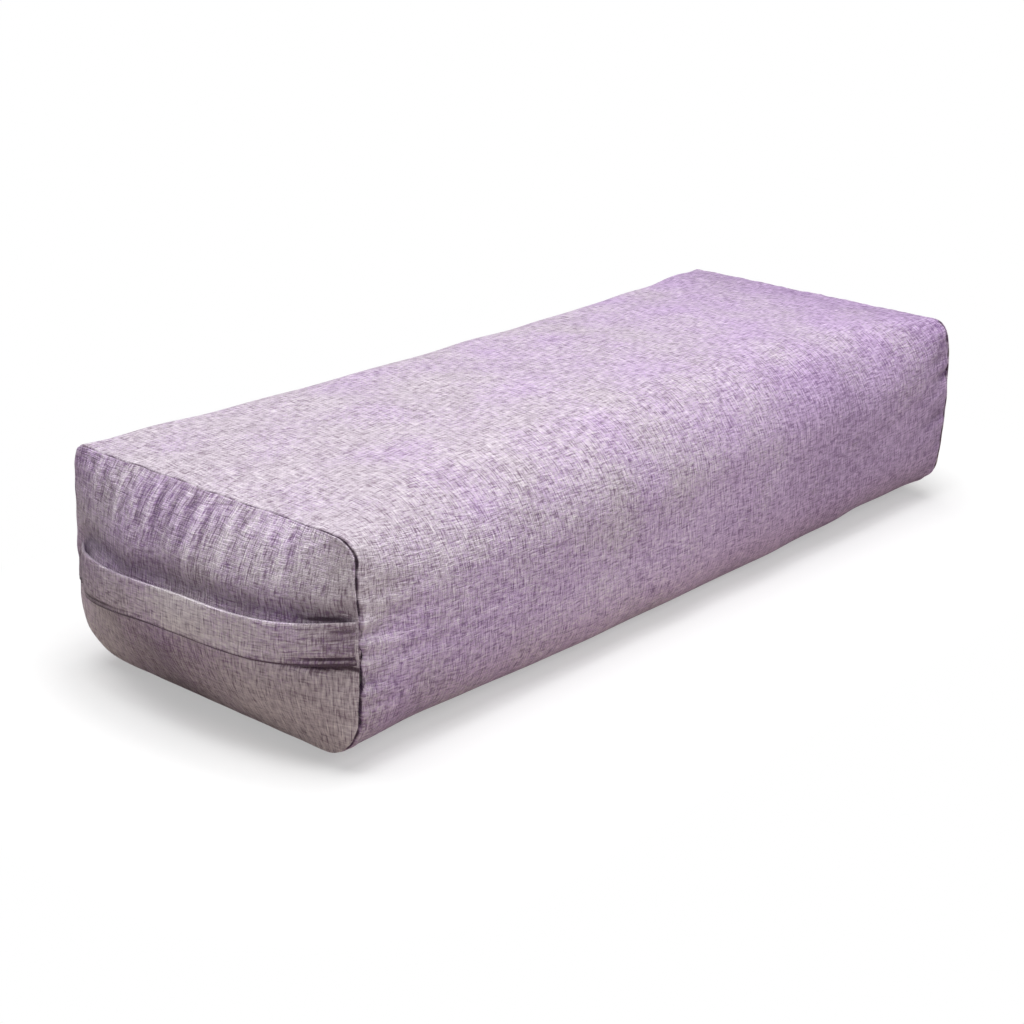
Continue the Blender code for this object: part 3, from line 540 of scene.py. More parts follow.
panel = Plan(
    steps=(0.0009, 0.0078, 0.09, 0.11), hemShare=(0.0, 0.1, 0.25, 0.45, 0.7),
    # ripples that run in from the end seams and die out, strongest where the handles pull at the side seams
    rippleSize=0.0105, rippleReach=0.026, rippleHeight=0.00022, pullSize=0.016, pullReach=0.055,
    pullHeight=0.0003, pullNear=0.0004, pullAt=0.078, pullWidth=0.034,
    softSize=0.075, softHeight=0.00045, rim=0.0005, rimAt=0.0035, rimWidth=0.0022,
    # how far the seams stray, and the strength of the painted light and shade on the ripples and of the painted
    # highlight on the rim
    stray=0.0007, strayReach=0.01, rippleShade=200.0, rimShade=120.0,
    # painted shade towards the far end, where less light falls: over the whole panel, and on the shown side
    # with what ends it
    farTone=0.34, farSideTone=0.3, farSideEase=0.8,
    # painted light and shade low on the shown side: strength, place and width along the bolster, and the height
    # they fade at
    sideTones=((0.25, -0.29, 0.07, 0.03, 0.04), (-0.18, -0.06, 0.10, 0.05, 0.05)),
)


def bodyPanel():
    # rows of sections; at each end seam the edge turns in over a small radius, and along the zip it is hemmed
    radius, depth = cover.edgeRadius, cover.grooveDepth
    turn = np.radians([0, 22, 45, 67, 90])
    flatX = stations(*panel.steps)
    flatX = flatX[np.abs(flatX) < cover.end - radius * 1.4]
    edgeX = np.append(cover.end - radius + radius * np.sin(turn), [cover.end] * 2)
    edgeInset = np.append(radius - radius * np.cos(turn), [(radius + depth) / 2, depth])
    x = np.concatenate([-edgeX[::-1], flatX, edgeX])
    inset = np.concatenate([edgeInset[::-1], np.zeros(len(flatX)), edgeInset])
    opened = fall(np.abs(x), zipPlan.opening, zipPlan.taper)
    points = rowsOf(x, coverSection(x, inset, mix(zipPlan.shutGap, zipPlan.halfGap, opened)))
    # more columns beside the zip's edges, which fold in over the hem's radius
    share = np.array(panel.hemShare)[None, :, None]
    firstCols = mix(points[:, :1], points[:, 1:2], share)
    lastCols = mix(points[:, -1:], points[:, -2:-1], share)[:, ::-1]
    points = np.concatenate([firstCols, points[:, 1:-1], lastCols], axis=1)
    steps = np.linalg.norm(np.diff(points, axis=1), axis=2)
    run = np.concatenate([np.zeros((len(x), 1)), np.cumsum(steps, axis=1)], axis=1)
    girth = run[len(x) // 2, -1]
    v = run / run[:, -1:] * girth
    u = np.broadcast_to(x[:, None], v.shape)
    distance = cover.end - np.abs(u)
    y, z = points[:, :, 1], points[:, :, 2]
    shown = shownSide(y, z)
    pull = np.clip(np.abs(y) / (endWidth / 2) * 6 - 5, 0, 1) * hump(z, panel.pullAt, panel.pullWidth)
    pull = pull * (panel.pullHeight + panel.pullNear * shown * (u < 0))
    ripple = waves(u, v, panel.rippleSize, 14, 11, stretch=7.0) * np.exp(-distance / panel.rippleReach)
    pulls = waves(u, v, panel.pullSize, 10, 12, stretch=6.0) * np.exp(-distance / panel.pullReach)
    ripple = ripple * (panel.rippleHeight + pull) + pulls * pull
    rim = shown * panel.rim * hump(distance, panel.rimAt, panel.rimWidth)
    soft = waves(u, v, panel.softSize, 16, 13) * panel.softHeight * rise(distance, 0, 0.02)
    onZip = fall(np.hypot(np.maximum(np.abs(u) - 0.2, 0), z - zipPlan.height), 0.012, 0.02) * (y > 0.08)
    height = (ripple + soft + rim) * offFloor(z) * (1 - onZip)
    fromEdge = np.minimum(run, run[:, -1:] - run)
    hem = zipPlan.hem
    fold = hem - np.sqrt(np.maximum(hem ** 2 - np.maximum(hem - fromEdge, 0) ** 2, 0))
    points = points + gridNormals(points) * (height - fold)[:, :, None]
    y, z = points[:, :, 1], points[:, :, 2]
    stray = seamWander(y, z) - shown * panel.stray
    points[:, :, 0] += np.sign(u) * stray * np.exp(-distance / panel.strayReach)
    # painted shade in the seams' grooves, painted light and shade on the ripples, and a painted highlight on
    # the rim beside the shown seam
    inGroove = rise(inset[:, None], 0.0001, 0.0008)
    shade = inGroove * seamTone(y, z) - panel.rippleShade * ripple - panel.rimShade * rim * (1 - inGroove)
    # painted shade towards the far end, and painted light and shade low on the shown side
    onSide = rise(-y, 0.085, 0.02)
    farSide = panel.farSideTone * rise(u, 0.08, 0.08) * (1 - panel.farSideEase * rise(u, 0.19, 0.08))
    shade = shade + panel.farTone * rise(u, 0.20, 0.10) ** 2 + onSide * farSide
    for strength, place, width, upTo, fade in panel.sideTones:
        shade = shade + strength * onSide * hump(u, place, width) * fall(z, upTo, fade)
    return gridPiece("bodyPanel", points, np.stack([u, v], axis=2), shade=shade), girth, points


strap = Plan(
    rise=0.0315, power=3.2, thickness=0.0026, endThickness=0.0011, backThinner=0.35, reach=0.1206,
    shorter=0.995, steps=220, around=56, hug=0.034, dive=0.0034, diveFront=0.0022, diveBack=0.0040,
    # depth and width of the crease in the end panel behind the top edge, and of the one under the bottom
    # edge with the depth that it gains towards the shown side
    creaseAbove=(0.0028, 0.009), creaseBelow=(0.0020, 0.0017, 0.0014), creaseDrop=0.0016,
    # places across the end, and the heights of the top and bottom edges there, in mm
    places=(-121, -105, -90, -65, -11, 24, 57, 85, 98, 110, 121),
    tops=(95.0, 93.0, 91.0, 89.5, 89.5, 87.5, 85.5, 86.0, 86.5, 84.0, 62.0),
    bottoms=(69.0, 67.5, 66.0, 64.5, 64.5, 63.0, 59.0, 56.0, 56.5, 56.0, 46.0),
    # pleats: height on the strap from its bottom edge, width and depth in mm, and length from the seam in mm
    pleats=((0.17, 0.8, 1.4, 36), (0.62, 1.5, 0.6, 20), (0.80, 1.5, 0.6, 16), (0.4, 1.8, 0.4, 24)),
    # the hem: height of its step and its share of the strap, and its stitching's height and width
    hemStep=0.0008, hemAt=0.13, hemSway=0.03, stitchAt=0.0034, stitchWidth=0.0007,
    # tones: painted shadow along the low edge and its loss towards the back, painted highlight along the top
    # edge, and painted light and shade over the whole strap, towards front, back and middle
    lowEdge=1.8, lowEdgeEase=1.3, topEdge=0.45, tone=-0.66, frontTone=0.98, backTone=1.25, middleTone=0.25,
)


def strapEdge(y, which):  # height of a strap's edge: straight runs between its places, softened over 12 mm
    spread = np.linspace(-0.012, 0.012, 9)
    places, heights = np.array(strap.places) / 1000, np.array(strap[which]) / 1000
    return np.mean([np.interp(y + s, places, heights) for s in spread], axis=0)


def towardsShown(y):  # 0 up to the middle of an end, 1 towards the shown side
    return rise(-y, 0.02, 0.08)


def endFace(y, z, drop=0.0):
    # X of an end panel: a pillow that falls to the seam on all sides, the product of two drops, with a crease
    # along each edge of the strap
    halfWidth = endWidth / 2 + cover.belly - cover.lipInset
    halfHeight = (endTop - cover.endLift) / 2 - cover.lipInset
    across = np.clip(np.abs(y) / halfWidth, 0, 1) ** cover.bulgePower
    up = np.clip(np.abs(z - endMiddle) / halfHeight, 0, 1)
    up = np.where(z > endMiddle, up ** cover.upperPower, up ** cover.bulgePower)
    right = towardsShown(y)
    above, below = strap.creaseAbove, strap.creaseBelow
    belowAt = strapEdge(y, "bottoms") - strap.creaseDrop * (1 + 0.3 * right)
    crease = above[0] * hump(z, strapEdge(y, "tops"), above[1])
    crease = crease + (below[0] + below[2] * right) * hump(z, belowAt, below[1] * (1 + 0.6 * right))
    bulge = cover.bulge * (1 - across) * (1 - up)
    return cover.end + cover.lip + bulge - crease * (1 - across ** 4) - drop


gathers = Plan(
    # place along the seam, width, length and height in mm, and how far the fold leans over its length
    near=[(104, 3.0, 22, 0.8, -3), (91, 3.0, 42, 1.7, -4), (77, 3.6, 30, 1.0, -2), (67, 3.0, 52, 1.9, -4),
          (52, 3.0, 36, 1.4, -5), (36, 2.8, 42, 2.2, -5), (24, 3.2, 26, 1.0, -2), (11, 3.4, 42, 1.9, -3),
          (-5, 3.2, 58, 2.2, -5), (-16, 2.8, 26, 1.0, -2), (-29, 3.4, 48, 2.3, -4), (-44, 3.2, 26, 1.2, -2),
          (-57, 3.0, 38, 1.6, -3), (-70, 3.0, 46, 2.4, -4), (-82, 2.8, 30, 1.3, -3), (-95, 3.0, 22, 0.9, -2)],
    far=[(-101, 3.2, 24, 0.9, 3), (-86, 3.2, 38, 1.6, 3), (-71, 3.6, 30, 1.3, 2), (-60, 3.4, 46, 1.8, 4),
         (-43, 3.2, 34, 1.4, 3), (-31, 3.2, 42, 2.0, 3), (-14, 3.6, 28, 1.2, 2), (-2, 3.6, 50, 2.0, 4),
         (13, 3.4, 36, 1.5, 3), (27, 3.2, 24, 1.0, 2), (39, 3.6, 44, 2.0, 3), (54, 3.2, 30, 1.3, 2),
         (69, 3.4, 40, 1.7, 3), (83, 3.0, 28, 1.1, 3), (97, 3.2, 22, 0.9, 2)],
    rise=0.0050, fuller=0.56,
    # each fold's ridge and the valleys beside it: height, place and width, in widths of the fold
    profile=((1.0, 0.0, 1.0), (-0.60, -1.45, 0.75), (-0.25, 1.5, 0.8)),
)


def gatherHeight(y, z, folds):
    # each fold is a soft ridge with a narrow valley beside it, from just under the top seam downwards
    below = endTop - cover.lipInset - z
    total = np.zeros(y.shape)
    for fold in folds:
        place, width, length, height, lean = (value / 1000 for value in fold)
        down = rise(below, 0, length)
        s = (y - place - lean * down) / (width * (1 + 0.5 * down))
        profile = sum(size * hump(s, at, spread) for size, at, spread in gathers.profile)
        reach = (1 - np.exp(-np.maximum(below, 0) / gathers.rise)) * fall(below, length * 0.15, length * 0.9)
        total += gathers.fuller * height * profile * reach
    return total


def ringOf(loopY, loopZ, scale):  # the seam loop drawn in towards its middle, rounder the smaller it gets
    halfWidth, halfHeight = np.abs(loopY).max(), np.abs(loopZ - endMiddle).max()
    angle = np.arctan2((loopZ - endMiddle) / halfHeight, loopY / halfWidth)
    y = scale * mix(halfWidth * np.cos(angle), loopY, scale)
    z = scale * mix(halfHeight * np.sin(angle), loopZ - endMiddle, scale)
    return y, z + endMiddle


endTones = Plan(
    # painted shadow in the crease under the strap and in the wedge above it, and painted highlights along the
    # gathers
    line=1.9, lineDrop=0.0018, lineWidth=0.0016, lineEase=0.9, wedge=1.3, gather=0.50, gatherScale=0.00072,
    # painted light and shade: on the upper part its level, slope across, middle and shown side; on the lower
    # part its band, middle and back corner
    level=0.10, slope=1.1, middle=0.30, shown=0.22, band=0.08, lowMiddle=0.62, lowBack=0.32,
)


def endShade(y, z, folded):
    # painted shade in the creases beside the strap and a painted shadow above it, painted highlights on the
    # gathers' ridges with painted shade in their valleys, and slow painted changes of light and shade over the
    # panel
    right, tones = towardsShown(y), endTones
    over, under = z - strapEdge(y, "tops"), strapEdge(y, "bottoms") - z
    lineWidth = (tones.lineWidth + 0.0004 * right) * (1 - 0.5 * rise(-y, 0.10, 0.02))
    line = hump(under, tones.lineDrop + 0.0004 * right, lineWidth)
    line = line * (1 - tones.lineEase * rise(y, 0.03, 0.05))
    shadow = hump(over, 0.003, 0.009) * (0.25 + 0.25 * right)
    wedge = rise(-y, 0.080, 0.02) * rise(y, -0.116, 0.004) * hump(over, -0.0002, 0.0010)
    gathered = np.clip(folded / tones.gatherScale, -0.5, 1.2)
    upper = tones.level + tones.slope * y + tones.middle * hump(y, 0.015, 0.035)
    upper = upper - tones.shown * rise(-y, 0.03, 0.04)
    lower = tones.lowMiddle * hump(y, 0.02, 0.045) - tones.lowBack * rise(y, 0.06, 0.02)
    slow = upper * rise(z, 0.07, 0.05) - tones.band * rise(-z, -0.10, 0.04) + lower * rise(-z, -0.065, 0.02)
    return tones.line * line + tones.wedge * wedge + shadow - tones.gather * gathered + slow


def endPanel(name, side, folds, seed):
    # rings from the seam to the middle; the first rows come up out of the seam's groove and round a small lip
    radius = cover.lipRadius
    turn = np.radians([0, 25, 50, 75])
    lipX = np.append(0.0, radius - radius * np.cos(turn)) + cover.end + cover.lip - radius
    lipInset = np.append(cover.grooveDepth + 0.0004, cover.lipInset + radius - radius * np.sin(turn))
    loopY, loopZ = coverSection(np.full(len(lipX) + 1, cover.end), np.append(lipInset, cover.lipInset),
                                counts=endCounts)
    loopY, loopZ = softened(loopY), softened(loopZ)
    scales = 1 - 0.975 * np.linspace(0, 1, 54)[:, None] ** 1.25
    y, z = ringOf(loopY[-1:], loopZ[-1:], scales)
    below = (1 - scales) * 0.08
    folded = gatherHeight(y, z, folds)
    stepY, stepZ = (np.diff(a[-1:], append=a[-1:, :1]) for a in (loopY, loopZ))
    around = np.cumsum(np.hypot(stepY, stepZ), axis=1)
    # puckers along the seam, weaker low down, and slow waves over the panel
    pucker = waves(around, below, 0.011, 10, seed) * np.exp(-below / 0.012) * (1 - np.exp(-below / 0.003))
    slow = waves(y, z, 0.05, 14, seed + 1) * 0.0006 * rise(below, 0, 0.02)
    x = endFace(y, z) + folded + pucker * 0.0005 * (0.8 - 0.6 * fall(z, 0.02, 0.06))
    x = x + slow + lipWander(y, z) * np.exp(-below / 0.01)
    lipY, lipZ = loopY[:-1], loopZ[:-1]
    # painted shade in the seam's groove and painted light and shade over the panel
    shade = np.concatenate([seamTone(lipY, lipZ), endShade(y, z, folded)])
    x = np.concatenate([lipX[:, None] + lipWander(lipY, lipZ), x])
    y, z = np.concatenate([lipY, y]), np.concatenate([lipZ, z])
    uv = np.stack([y, z], axis=2)
    uv = np.concatenate([uv, uv[:, :1]], axis=1)
    tip = (side * float(endFace(0.0, endMiddle)), 0.0, endMiddle)
    points = np.stack([side * x, y, z], axis=2)
    return gridPiece(name, points, uv, wrap=True, flip=side < 0, poles=(None, tip), poleUv=(0.0, endMiddle),
                     shade=shade)


def handleStrap(name, side):
    # a flattened tube of cloth: a rounded slot swept across the end and bowed out, with a fold along its low
    # edge and pleats that gather it into the side seams, where its ends dive into the groove
    t = np.sin(np.linspace(-1, 1, strap.steps) * np.pi / 2)[:, None]
    y = t * strap.reach * np.where(t < 0, strap.shorter, 1)
    top, bottom = strapEdge(y, "tops"), strapEdge(y, "bottoms")
    middle, half = (top + bottom) / 2, (top - bottom) / 2
    angle = np.linspace(0, 2 * np.pi, strap.around, endpoint=False)[None, :]
    wide = flattened(np.cos(angle), 0.55)   # across the strap, top edge at angle 0
    deep = flattened(np.sin(angle), 0.45)   # outer face at positive angles
    toFront, toBack = strap.reach * strap.shorter + y, strap.reach - y
    toSeam = np.where(y < 0, toFront, toBack)
    thickness = mix(strap.endThickness, strap.thickness, rise(toSeam, 0, 0.02)) / 2
    thickness = thickness * (1 - strap.backThinner * fall(toBack, 0.01, 0.03))
    z = middle + half * wide
    onFace = endFace(y, z) + 0.0003
    bowed = cover.end + cover.lip + strap.rise * (1 - np.abs(t) ** strap.power)
    lying = fall(toBack, 0.004, strap.hug)   # the end at +Y lies flat on the panel
    x = np.maximum(mix(bowed, onFace, lying), onFace) + thickness + thickness * deep
    # the second edge of the folded cloth, a step that shows along the low edge
    outer = np.clip(deep, 0, 1)
    height = (wide + 1) / 2
    stepAt = strap.hemAt + strap.hemSway * np.sin(y * 40)
    x = x - outer * strap.hemStep * fall(height, stepAt, 0.03) * fall(toBack, 0.05, 0.06)
    # painted shadow along the low edge, darker along the hem's stitching, a painted highlight along the top
    # edge, and painted light and shade along the strap
    stitching = hump(height * 2 * half, strap.stitchAt, strap.stitchWidth) * (0.3 + 0.8 * rise(y, 0, 0.08))
    lowEdge = strap.lowEdge - strap.lowEdgeEase * rise(y, 0.03, 0.05)
    shade = lowEdge * hump(height, 0, 0.06) - strap.topEdge * hump(height, 0.975, 0.035) + stitching
    shade = shade + strap.tone + strap.frontTone * rise(-y, 0, 0.11) ** 2
    shade = shade + strap.backTone * rise(y, 0, 0.11) + strap.middleTone * fall(np.abs(y - 0.04), 0.02, 0.04)
    for at, *sizes in strap.pleats:
        width, depth, length = (size / 1000 for size in sizes)
        width = width / (2 * half)
        crease = hump(height, at, width) * fall(toFront, length * 0.5, length * 0.5)
        # painted shade in the pleat's crease
        shade = shade + crease * depth / 0.0015
        backCrease = hump(height, 1 - at, width) * fall(toBack, length * 0.4, length * 0.4)
        x = x - outer * depth * (crease + 0.5 * backCrease)
    x = x + outer * waves(y, z, 0.02, 10, 31, stretch=3.0) * 0.00025
    x = x - strap.dive * (1 - rise(toSeam, 0, np.where(y < 0, strap.diveFront, strap.diveBack))) ** 2
    points = np.stack([side * x, np.broadcast_to(y, x.shape), z], axis=2)
    length = np.concatenate([[0], np.cumsum(np.linalg.norm(np.diff(points[:, 0], axis=0), axis=1))])
    around = np.concatenate([wide * half * np.sign(deep), wide[:, :1] * half], axis=1)
    uv = np.stack([np.broadcast_to(length[:, None], around.shape), around], axis=2)
    poles = points[0].mean(axis=0), points[-1].mean(axis=0)
    return gridPiece(name, points, uv, wrap=True, flip=side > 0, poles=poles, shade=shade)


body, girth, bodyPoints = bodyPanel()
finishPiece(body, "cover_cloth", coverCloth, "cover_body_panel", wall=cover.thickness)
print("body panel made, girth", round(girth, 4))
for (end, side), seed in zip(bothEnds, (21, 26)):
    endPiece = endPanel("endPanel" + end, side, gathers[end.lower()], seed)
    finishPiece(endPiece, "cover_cloth", endCloth, "cover_end_" + end.lower(), wall=cover.thickness)
    handle = handleStrap("carryStrap" + end, side)
    finishPiece(handle, "handle_cloth", handleCloth, "carry_handle_" + end.lower())
print("end panels and straps made")


tape = Plan(plane=0.1111, thickness=0.0006, gap=0.0024, width=0.016, half=0.218)
tooth = Plan(
    pitch=0.0038, length=0.0015, root=0.0012, reach=0.0008, low=0.0007, thick=0.0016, half=0.0028,
    first=-0.1943, start=-0.1951, end=0.1974,
    # one side of a tooth's outline: share of the half length, and place across the tape in mm
    outline=((-0.72, 1.3), (-0.72, 0.2), (-1, -0.1), (-1, -0.62), (-0.55, -0.8)),
    layers=((0.0, 0.86), (0.0003, 1.0), (0.0012, 1.0), (0.0016, 0.8)),   # depth and size of its layers
)


def zipTape(name, sign):
    # a flat woven strip, which stands upright beside the zip's middle
    u, v = np.meshgrid(np.linspace(-tape.half, tape.half, 160), np.linspace(0, tape.width, 12), indexing="ij")
    y = tape.plane + tape.thickness / 2 + waves(u, v, 0.03, 8, 41) * 0.00004
    z = zipPlan.height + sign * (tape.gap / 2 + v)
    return gridPiece(name, np.stack([u, y, z], axis=2), np.stack([u, v], axis=2), flip=sign < 0)


def toothRow(name, sign):
    # teeth moulded on a cord: each is a block with a wider head and bevelled faces, in three outlines
    outline = np.array(tooth.outline) * (tooth.length / 2, 0.001)
    outline = np.concatenate([outline, outline[::-1] * (-1, 1)])
    layers = []
    for depth, grow in tooth.layers:
        across = np.maximum(outline[:, 1], -tooth.reach * grow)
        deep = np.full(len(outline), tape.plane + tooth.low + depth)
        layers.append(np.stack([outline[:, 0] * grow, deep, sign * across], axis=1))
    shift = tooth.pitch / 2 if sign < 0 else 0.0
    at = np.arange(tooth.first + shift, tooth.end - tooth.length, tooth.pitch)
    places = np.stack([at, 0 * at, np.full(len(at), zipPlan.height)], axis=1)
    teeth, teethQuads = copied(places[:, None] + np.concatenate(layers), closedQuads(4, len(outline)))
    # the cord that carries them: a rounded slot swept along the tape's edge
    u = np.linspace(tooth.start, tooth.end, 90)
    angle = np.linspace(0, 2 * np.pi, 14, endpoint=False)[None, :]
    halfCord, halfThick = (tooth.half - tooth.root) / 2, tooth.thick / 2
    z = zipPlan.height + sign * (tooth.root + halfCord + halfCord * flattened(np.cos(angle), 0.6))
    y = tape.plane + tooth.low + halfThick + halfThick * flattened(np.sin(angle), 0.6)
    cord = rowsOf(u, (np.repeat(y, len(u), axis=0), np.repeat(z, len(u), axis=0))).reshape(-1, 3)
    cordQuads = closedQuads(len(u), angle.size) + len(teeth)
    return outwards(makePiece(name, np.concatenate([teeth, cord]), [teethQuads, cordQuads]))


stitch = Plan(length=0.0026, pitch=0.0034, radius=0.00032, column=6, guide=100, reach=0.2105, lift=0.000068)


def zipStitches():
    # two rows of stitches that hold the hems to the tapes; each is a capsule laid on the cloth
    at = np.arange(-stitch.reach, stitch.reach, stitch.pitch)
    row = np.interp(at, bodyPoints[:, stitch.guide, 0], np.arange(len(bodyPoints)))
    low = np.floor(row).astype(int)
    part = (row - low)[:, None]
    line = np.repeat(np.linspace(-1, 1, 5), 6)
    angle = np.tile(np.linspace(0, 2 * np.pi, 6, endpoint=False), 5)
    ringSize = (np.sqrt(np.maximum(1 - np.abs(line) ** 3, 0)) * 0.95 + 0.05) * stitch.radius
    capsule = np.stack([line * stitch.length / 2, ringSize * np.cos(angle), ringSize * np.sin(angle)], axis=1)
    normals = gridNormals(bodyPoints)
    stitches = []
    for column in (stitch.column, bodyPoints.shape[1] - 1 - stitch.column):
        before, after, normal = bodyPoints[low, column], bodyPoints[low + 1, column], normals[low, column]
        ahead = unit(after - before)
        centre = mix(before, after, part) + normal * stitch.lift
        axes = np.stack([ahead, normal, np.cross(ahead, normal)], axis=1)
        stitches.append(centre[:, None] + capsule @ axes)
    points, faces = copied(np.concatenate(stitches), closedQuads(5, 6))
    return outwards(makePiece("zipStitches", points, [faces]))


for end, sign in (("Upper", 1), ("Lower", -1)):
    strip = zipTape("zipTape" + end, sign)
    finishPiece(strip, "zip_tape_cloth", tapeCloth, "zip_tape_" + end.lower(), wall=tape.thickness)
    teeth = toothRow("zipTeeth" + end, sign)
    finishPiece(teeth, "zip_tooth_plastic", toothPlastic, "zip_teeth_" + end.lower())
finishPiece(zipStitches(), "cover_cloth", sewingThread)
for node in ("zip_slider", "zip_pull", "zip_top_stop_upper", "zip_top_stop_lower", "zip_bottom_stop"):
    data = bpy.data.objects[node].data
    data.materials.clear()
    data.materials.append(platedMetal)
print("zip made")


inner = Plan(inset=0.0016, step=0.0026, stepEnd=0.3042, seat=0.1088, flat=0.0176, liner=0.0008,
             linerEnd=0.307, linerDrop=0.0045, foamEnd=0.294, fibreDrop=0.0078, gap=0.0004)
foamBlock = Plan(halfWidth=0.0975, low=0.013, high=0.1265, round=0.012, edge=0.0012)


def innerSection(x, extra=0.0):
    # against the body panel, and further in where the end panels' seam allowances lie
    stepped = inner.step * (1 - fall(np.abs(x), inner.foamEnd, inner.stepEnd - inner.foamEnd))
    return coverSection(x, inner.inset + stepped + extra, None, innerCounts, inner.seat - extra, inner.flat)


def roughened(points, depth, *noise):  # a skin pressed in along its normals where soft noise is above 0
    x, y, z = np.moveaxis(points, 2, 0)
    return points - gridNormals(points) * (np.clip(waves(x, y + z, *noise), 0, 2) * depth)[:, :, None]


def domeRings(start, count, extra, drop):  # rings of an inner end and its tip, the drop under the end panel
    loopY, loopZ = innerSection(np.array([inner.linerEnd]), extra)
    y, z = ringOf(loopY, loopZ, 1 - 0.97 * np.linspace(start, 1, count)[:, None])
    return loopY, loopZ, y, z, endFace(y, z, drop), float(endFace(0.0, endMiddle, drop))


def linerBag():
    # a cotton bag: a tube with a few slack folds and two domed ends
    ends = np.array([inner.stepEnd, inner.linerEnd])
    x = np.concatenate([-ends[::-1], np.linspace(-inner.foamEnd, inner.foamEnd, 90), ends])
    points = rowsOf(x, innerSection(x))
    tube = gridPiece("linerBody", roughened(points, 0.0003, 0.04, 12, 51, 2.0), wrap=True)
    finishPiece(tube, "liner_cotton", linerCotton, "liner_body", wall=inner.liner)
    loopY, loopZ, y, z, x, tip = domeRings(0, 24, 0.0, inner.linerDrop)
    edge, slack = np.full(loopY.shape, inner.linerEnd + 2 * inner.gap), waves(y, z, 0.05, 10, 52) * 0.0003
    points = np.stack([np.concatenate(pair) for pair in ((edge, x + slack), (loopY, y), (loopZ, z))], axis=2)
    for end, side in bothEnds:
        dome = gridPiece("linerEnd" + end, points * (side, 1, 1), wrap=True, flip=side < 0,
                         poles=(None, (side * tip, 0.0, endMiddle)))
        finishPiece(dome, "liner_cotton", linerCotton, "liner_end_" + end.lower(), wall=inner.liner)


def fibreParts():
    # a thick wrap round the foam, closed at both ends, and a domed pad against each end of it
    extra, room = inner.liner + inner.gap, inner.gap
    x = np.linspace(-inner.foamEnd, inner.foamEnd, 80)
    outer = roughened(rowsOf(x, innerSection(x, extra)), 0.0004, 0.018, 16, 61)
    side = np.full((len(x), 1), foamBlock.halfWidth + room)
    hole = rowsOf(x, roundedLoop(side, foamBlock.low - room, foamBlock.high + room, [foamBlock.round] * 4,
                                 innerCounts, zipPlan.height))
    rings = np.concatenate([outer, hole[::-1]])
    points = rings.reshape(-1, 3)
    wrap = outwards(makePiece("fibreWrap", points, [tubeQuads(len(rings) + 1, rings.shape[1]) % len(points)]))
    finishPiece(wrap, "fibre_white", fibreWhite, "fibre_wrap")
    at = np.array([inner.foamEnd, inner.stepEnd, inner.linerEnd])
    backRows = rowsOf(at + (room, 0, 0), innerSection(at, extra))
    _, _, y, z, x, tip = domeRings(0.03, 22, extra, inner.fibreDrop)
    x = x - np.clip(waves(y, z, 0.02, 14, 62), 0, 2) * 0.0005
    points = np.concatenate([backRows, np.stack([x, y, z], axis=2)])
    for end, side in bothEnds:
        poles = [(side * place, 0.0, endMiddle) for place in (at[0] + room, tip)]
        pad = gridPiece("fibrePad" + end, points * (side, 1, 1), wrap=True, flip=side < 0, poles=poles)
        finishPiece(outwards(pad), "fibre_white", fibreWhite, "fibre_end_" + end.lower())


def foamSlabs():
    # three cut slabs; the outer long edges of the lowest and the highest are trimmed round
    pitch = (foamBlock.high - foamBlock.low + inner.gap) / 3
    edge, rounded = foamBlock.edge, foamBlock.round
    turn = np.radians([0, 30, 60, 90])
    endX = inner.foamEnd - edge + edge * np.cos(turn)
    endInset = edge - edge * np.sin(turn)
    x = np.concatenate([-endX, np.linspace(-0.285, 0.285, 60), endX[::-1]])
    inset = np.concatenate([endInset, np.zeros(60), endInset[::-1]])[:, None]
    for number, (name, finish, slot, topR, lowR) in enumerate((
        ("Base", foamFirm, "foam_firm", edge, rounded), ("Middle", foamSoft, "foam_soft", edge, edge),
        ("Top", foamSoft, "foam_soft", rounded, edge),
    )):
        low = foamBlock.low + number * pitch
        high = low + pitch - inner.gap
        middle = (low + high) / 2
        bottom, top = low + inset, high - inset
        y, z = roundedLoop(foamBlock.halfWidth - inset, bottom, top, (topR, topR, lowR, lowR), slabCounts,
                           (bottom + top) / 2)
        z = z - (waves(x[:, None], y, 0.06, 8, 71 + number) + 2) * 0.00008 * (z > middle)
        poles = (x[0], 0.0, middle), (x[-1], 0.0, middle)
        slab = outwards(gridPiece("foam" + name, rowsOf(x, (y, z)), wrap=True, poles=poles))
        finishPiece(slab, slot, finish, "foam_" + name.lower())


linerBag()
fibreParts()
foamSlabs()
print("liner, fibre and foam made")


stage = Plan(size=14.0, bounce=(0.47, 0.42, 0.38), halfLength=0.33, halfWidth=0.11, shadowReach=0.005,
             shadowFade=0.16, lightest=0.4, sky=0.10, white=(1.0, 1.0, 1.0, 1.0))


def makeFloor():
    # a pale floor: the camera sees it white with the bolster's shadow, and plain white from some way off
    corners = np.array([(-1, -1, 0), (1, -1, 0), (1, 1, 0), (-1, 1, 0)]) * stage.size
    floor = makePiece("floor", corners, [np.array([[0, 1, 2, 3]])])
    paint = Paint("paleFloor", {"Roughness": 1.0, "Specular IOR Level": 0.0})
    seen = paint.node("LightPath")
    paint.feed("Base Color", paint.blend(seen, (*stage.bounce, 1.0), stage.white))
    white = paint.node("Emission", None, [stage.white, 1.0])
    x, y, _ = paint.split(paint.node("TexCoord", out=3))
    pastEnd = (x.size() - stage.halfLength).math("MAXIMUM", 0.0)
    pastSide = (y.size() - stage.halfWidth).math("MAXIMUM", 0.0)
    away = (pastEnd * pastEnd + pastSide * pastSide).math("SQRT")
    far = ((away - stage.shadowReach) / stage.shadowFade).clamped()
    far = (far * (1 - stage.lightest) + stage.lightest) * seen
    paint.finish(far, Wire(paint, paint.shader.outputs[0]), white, "Material Output")
    floor.data.materials.append(paint.material)


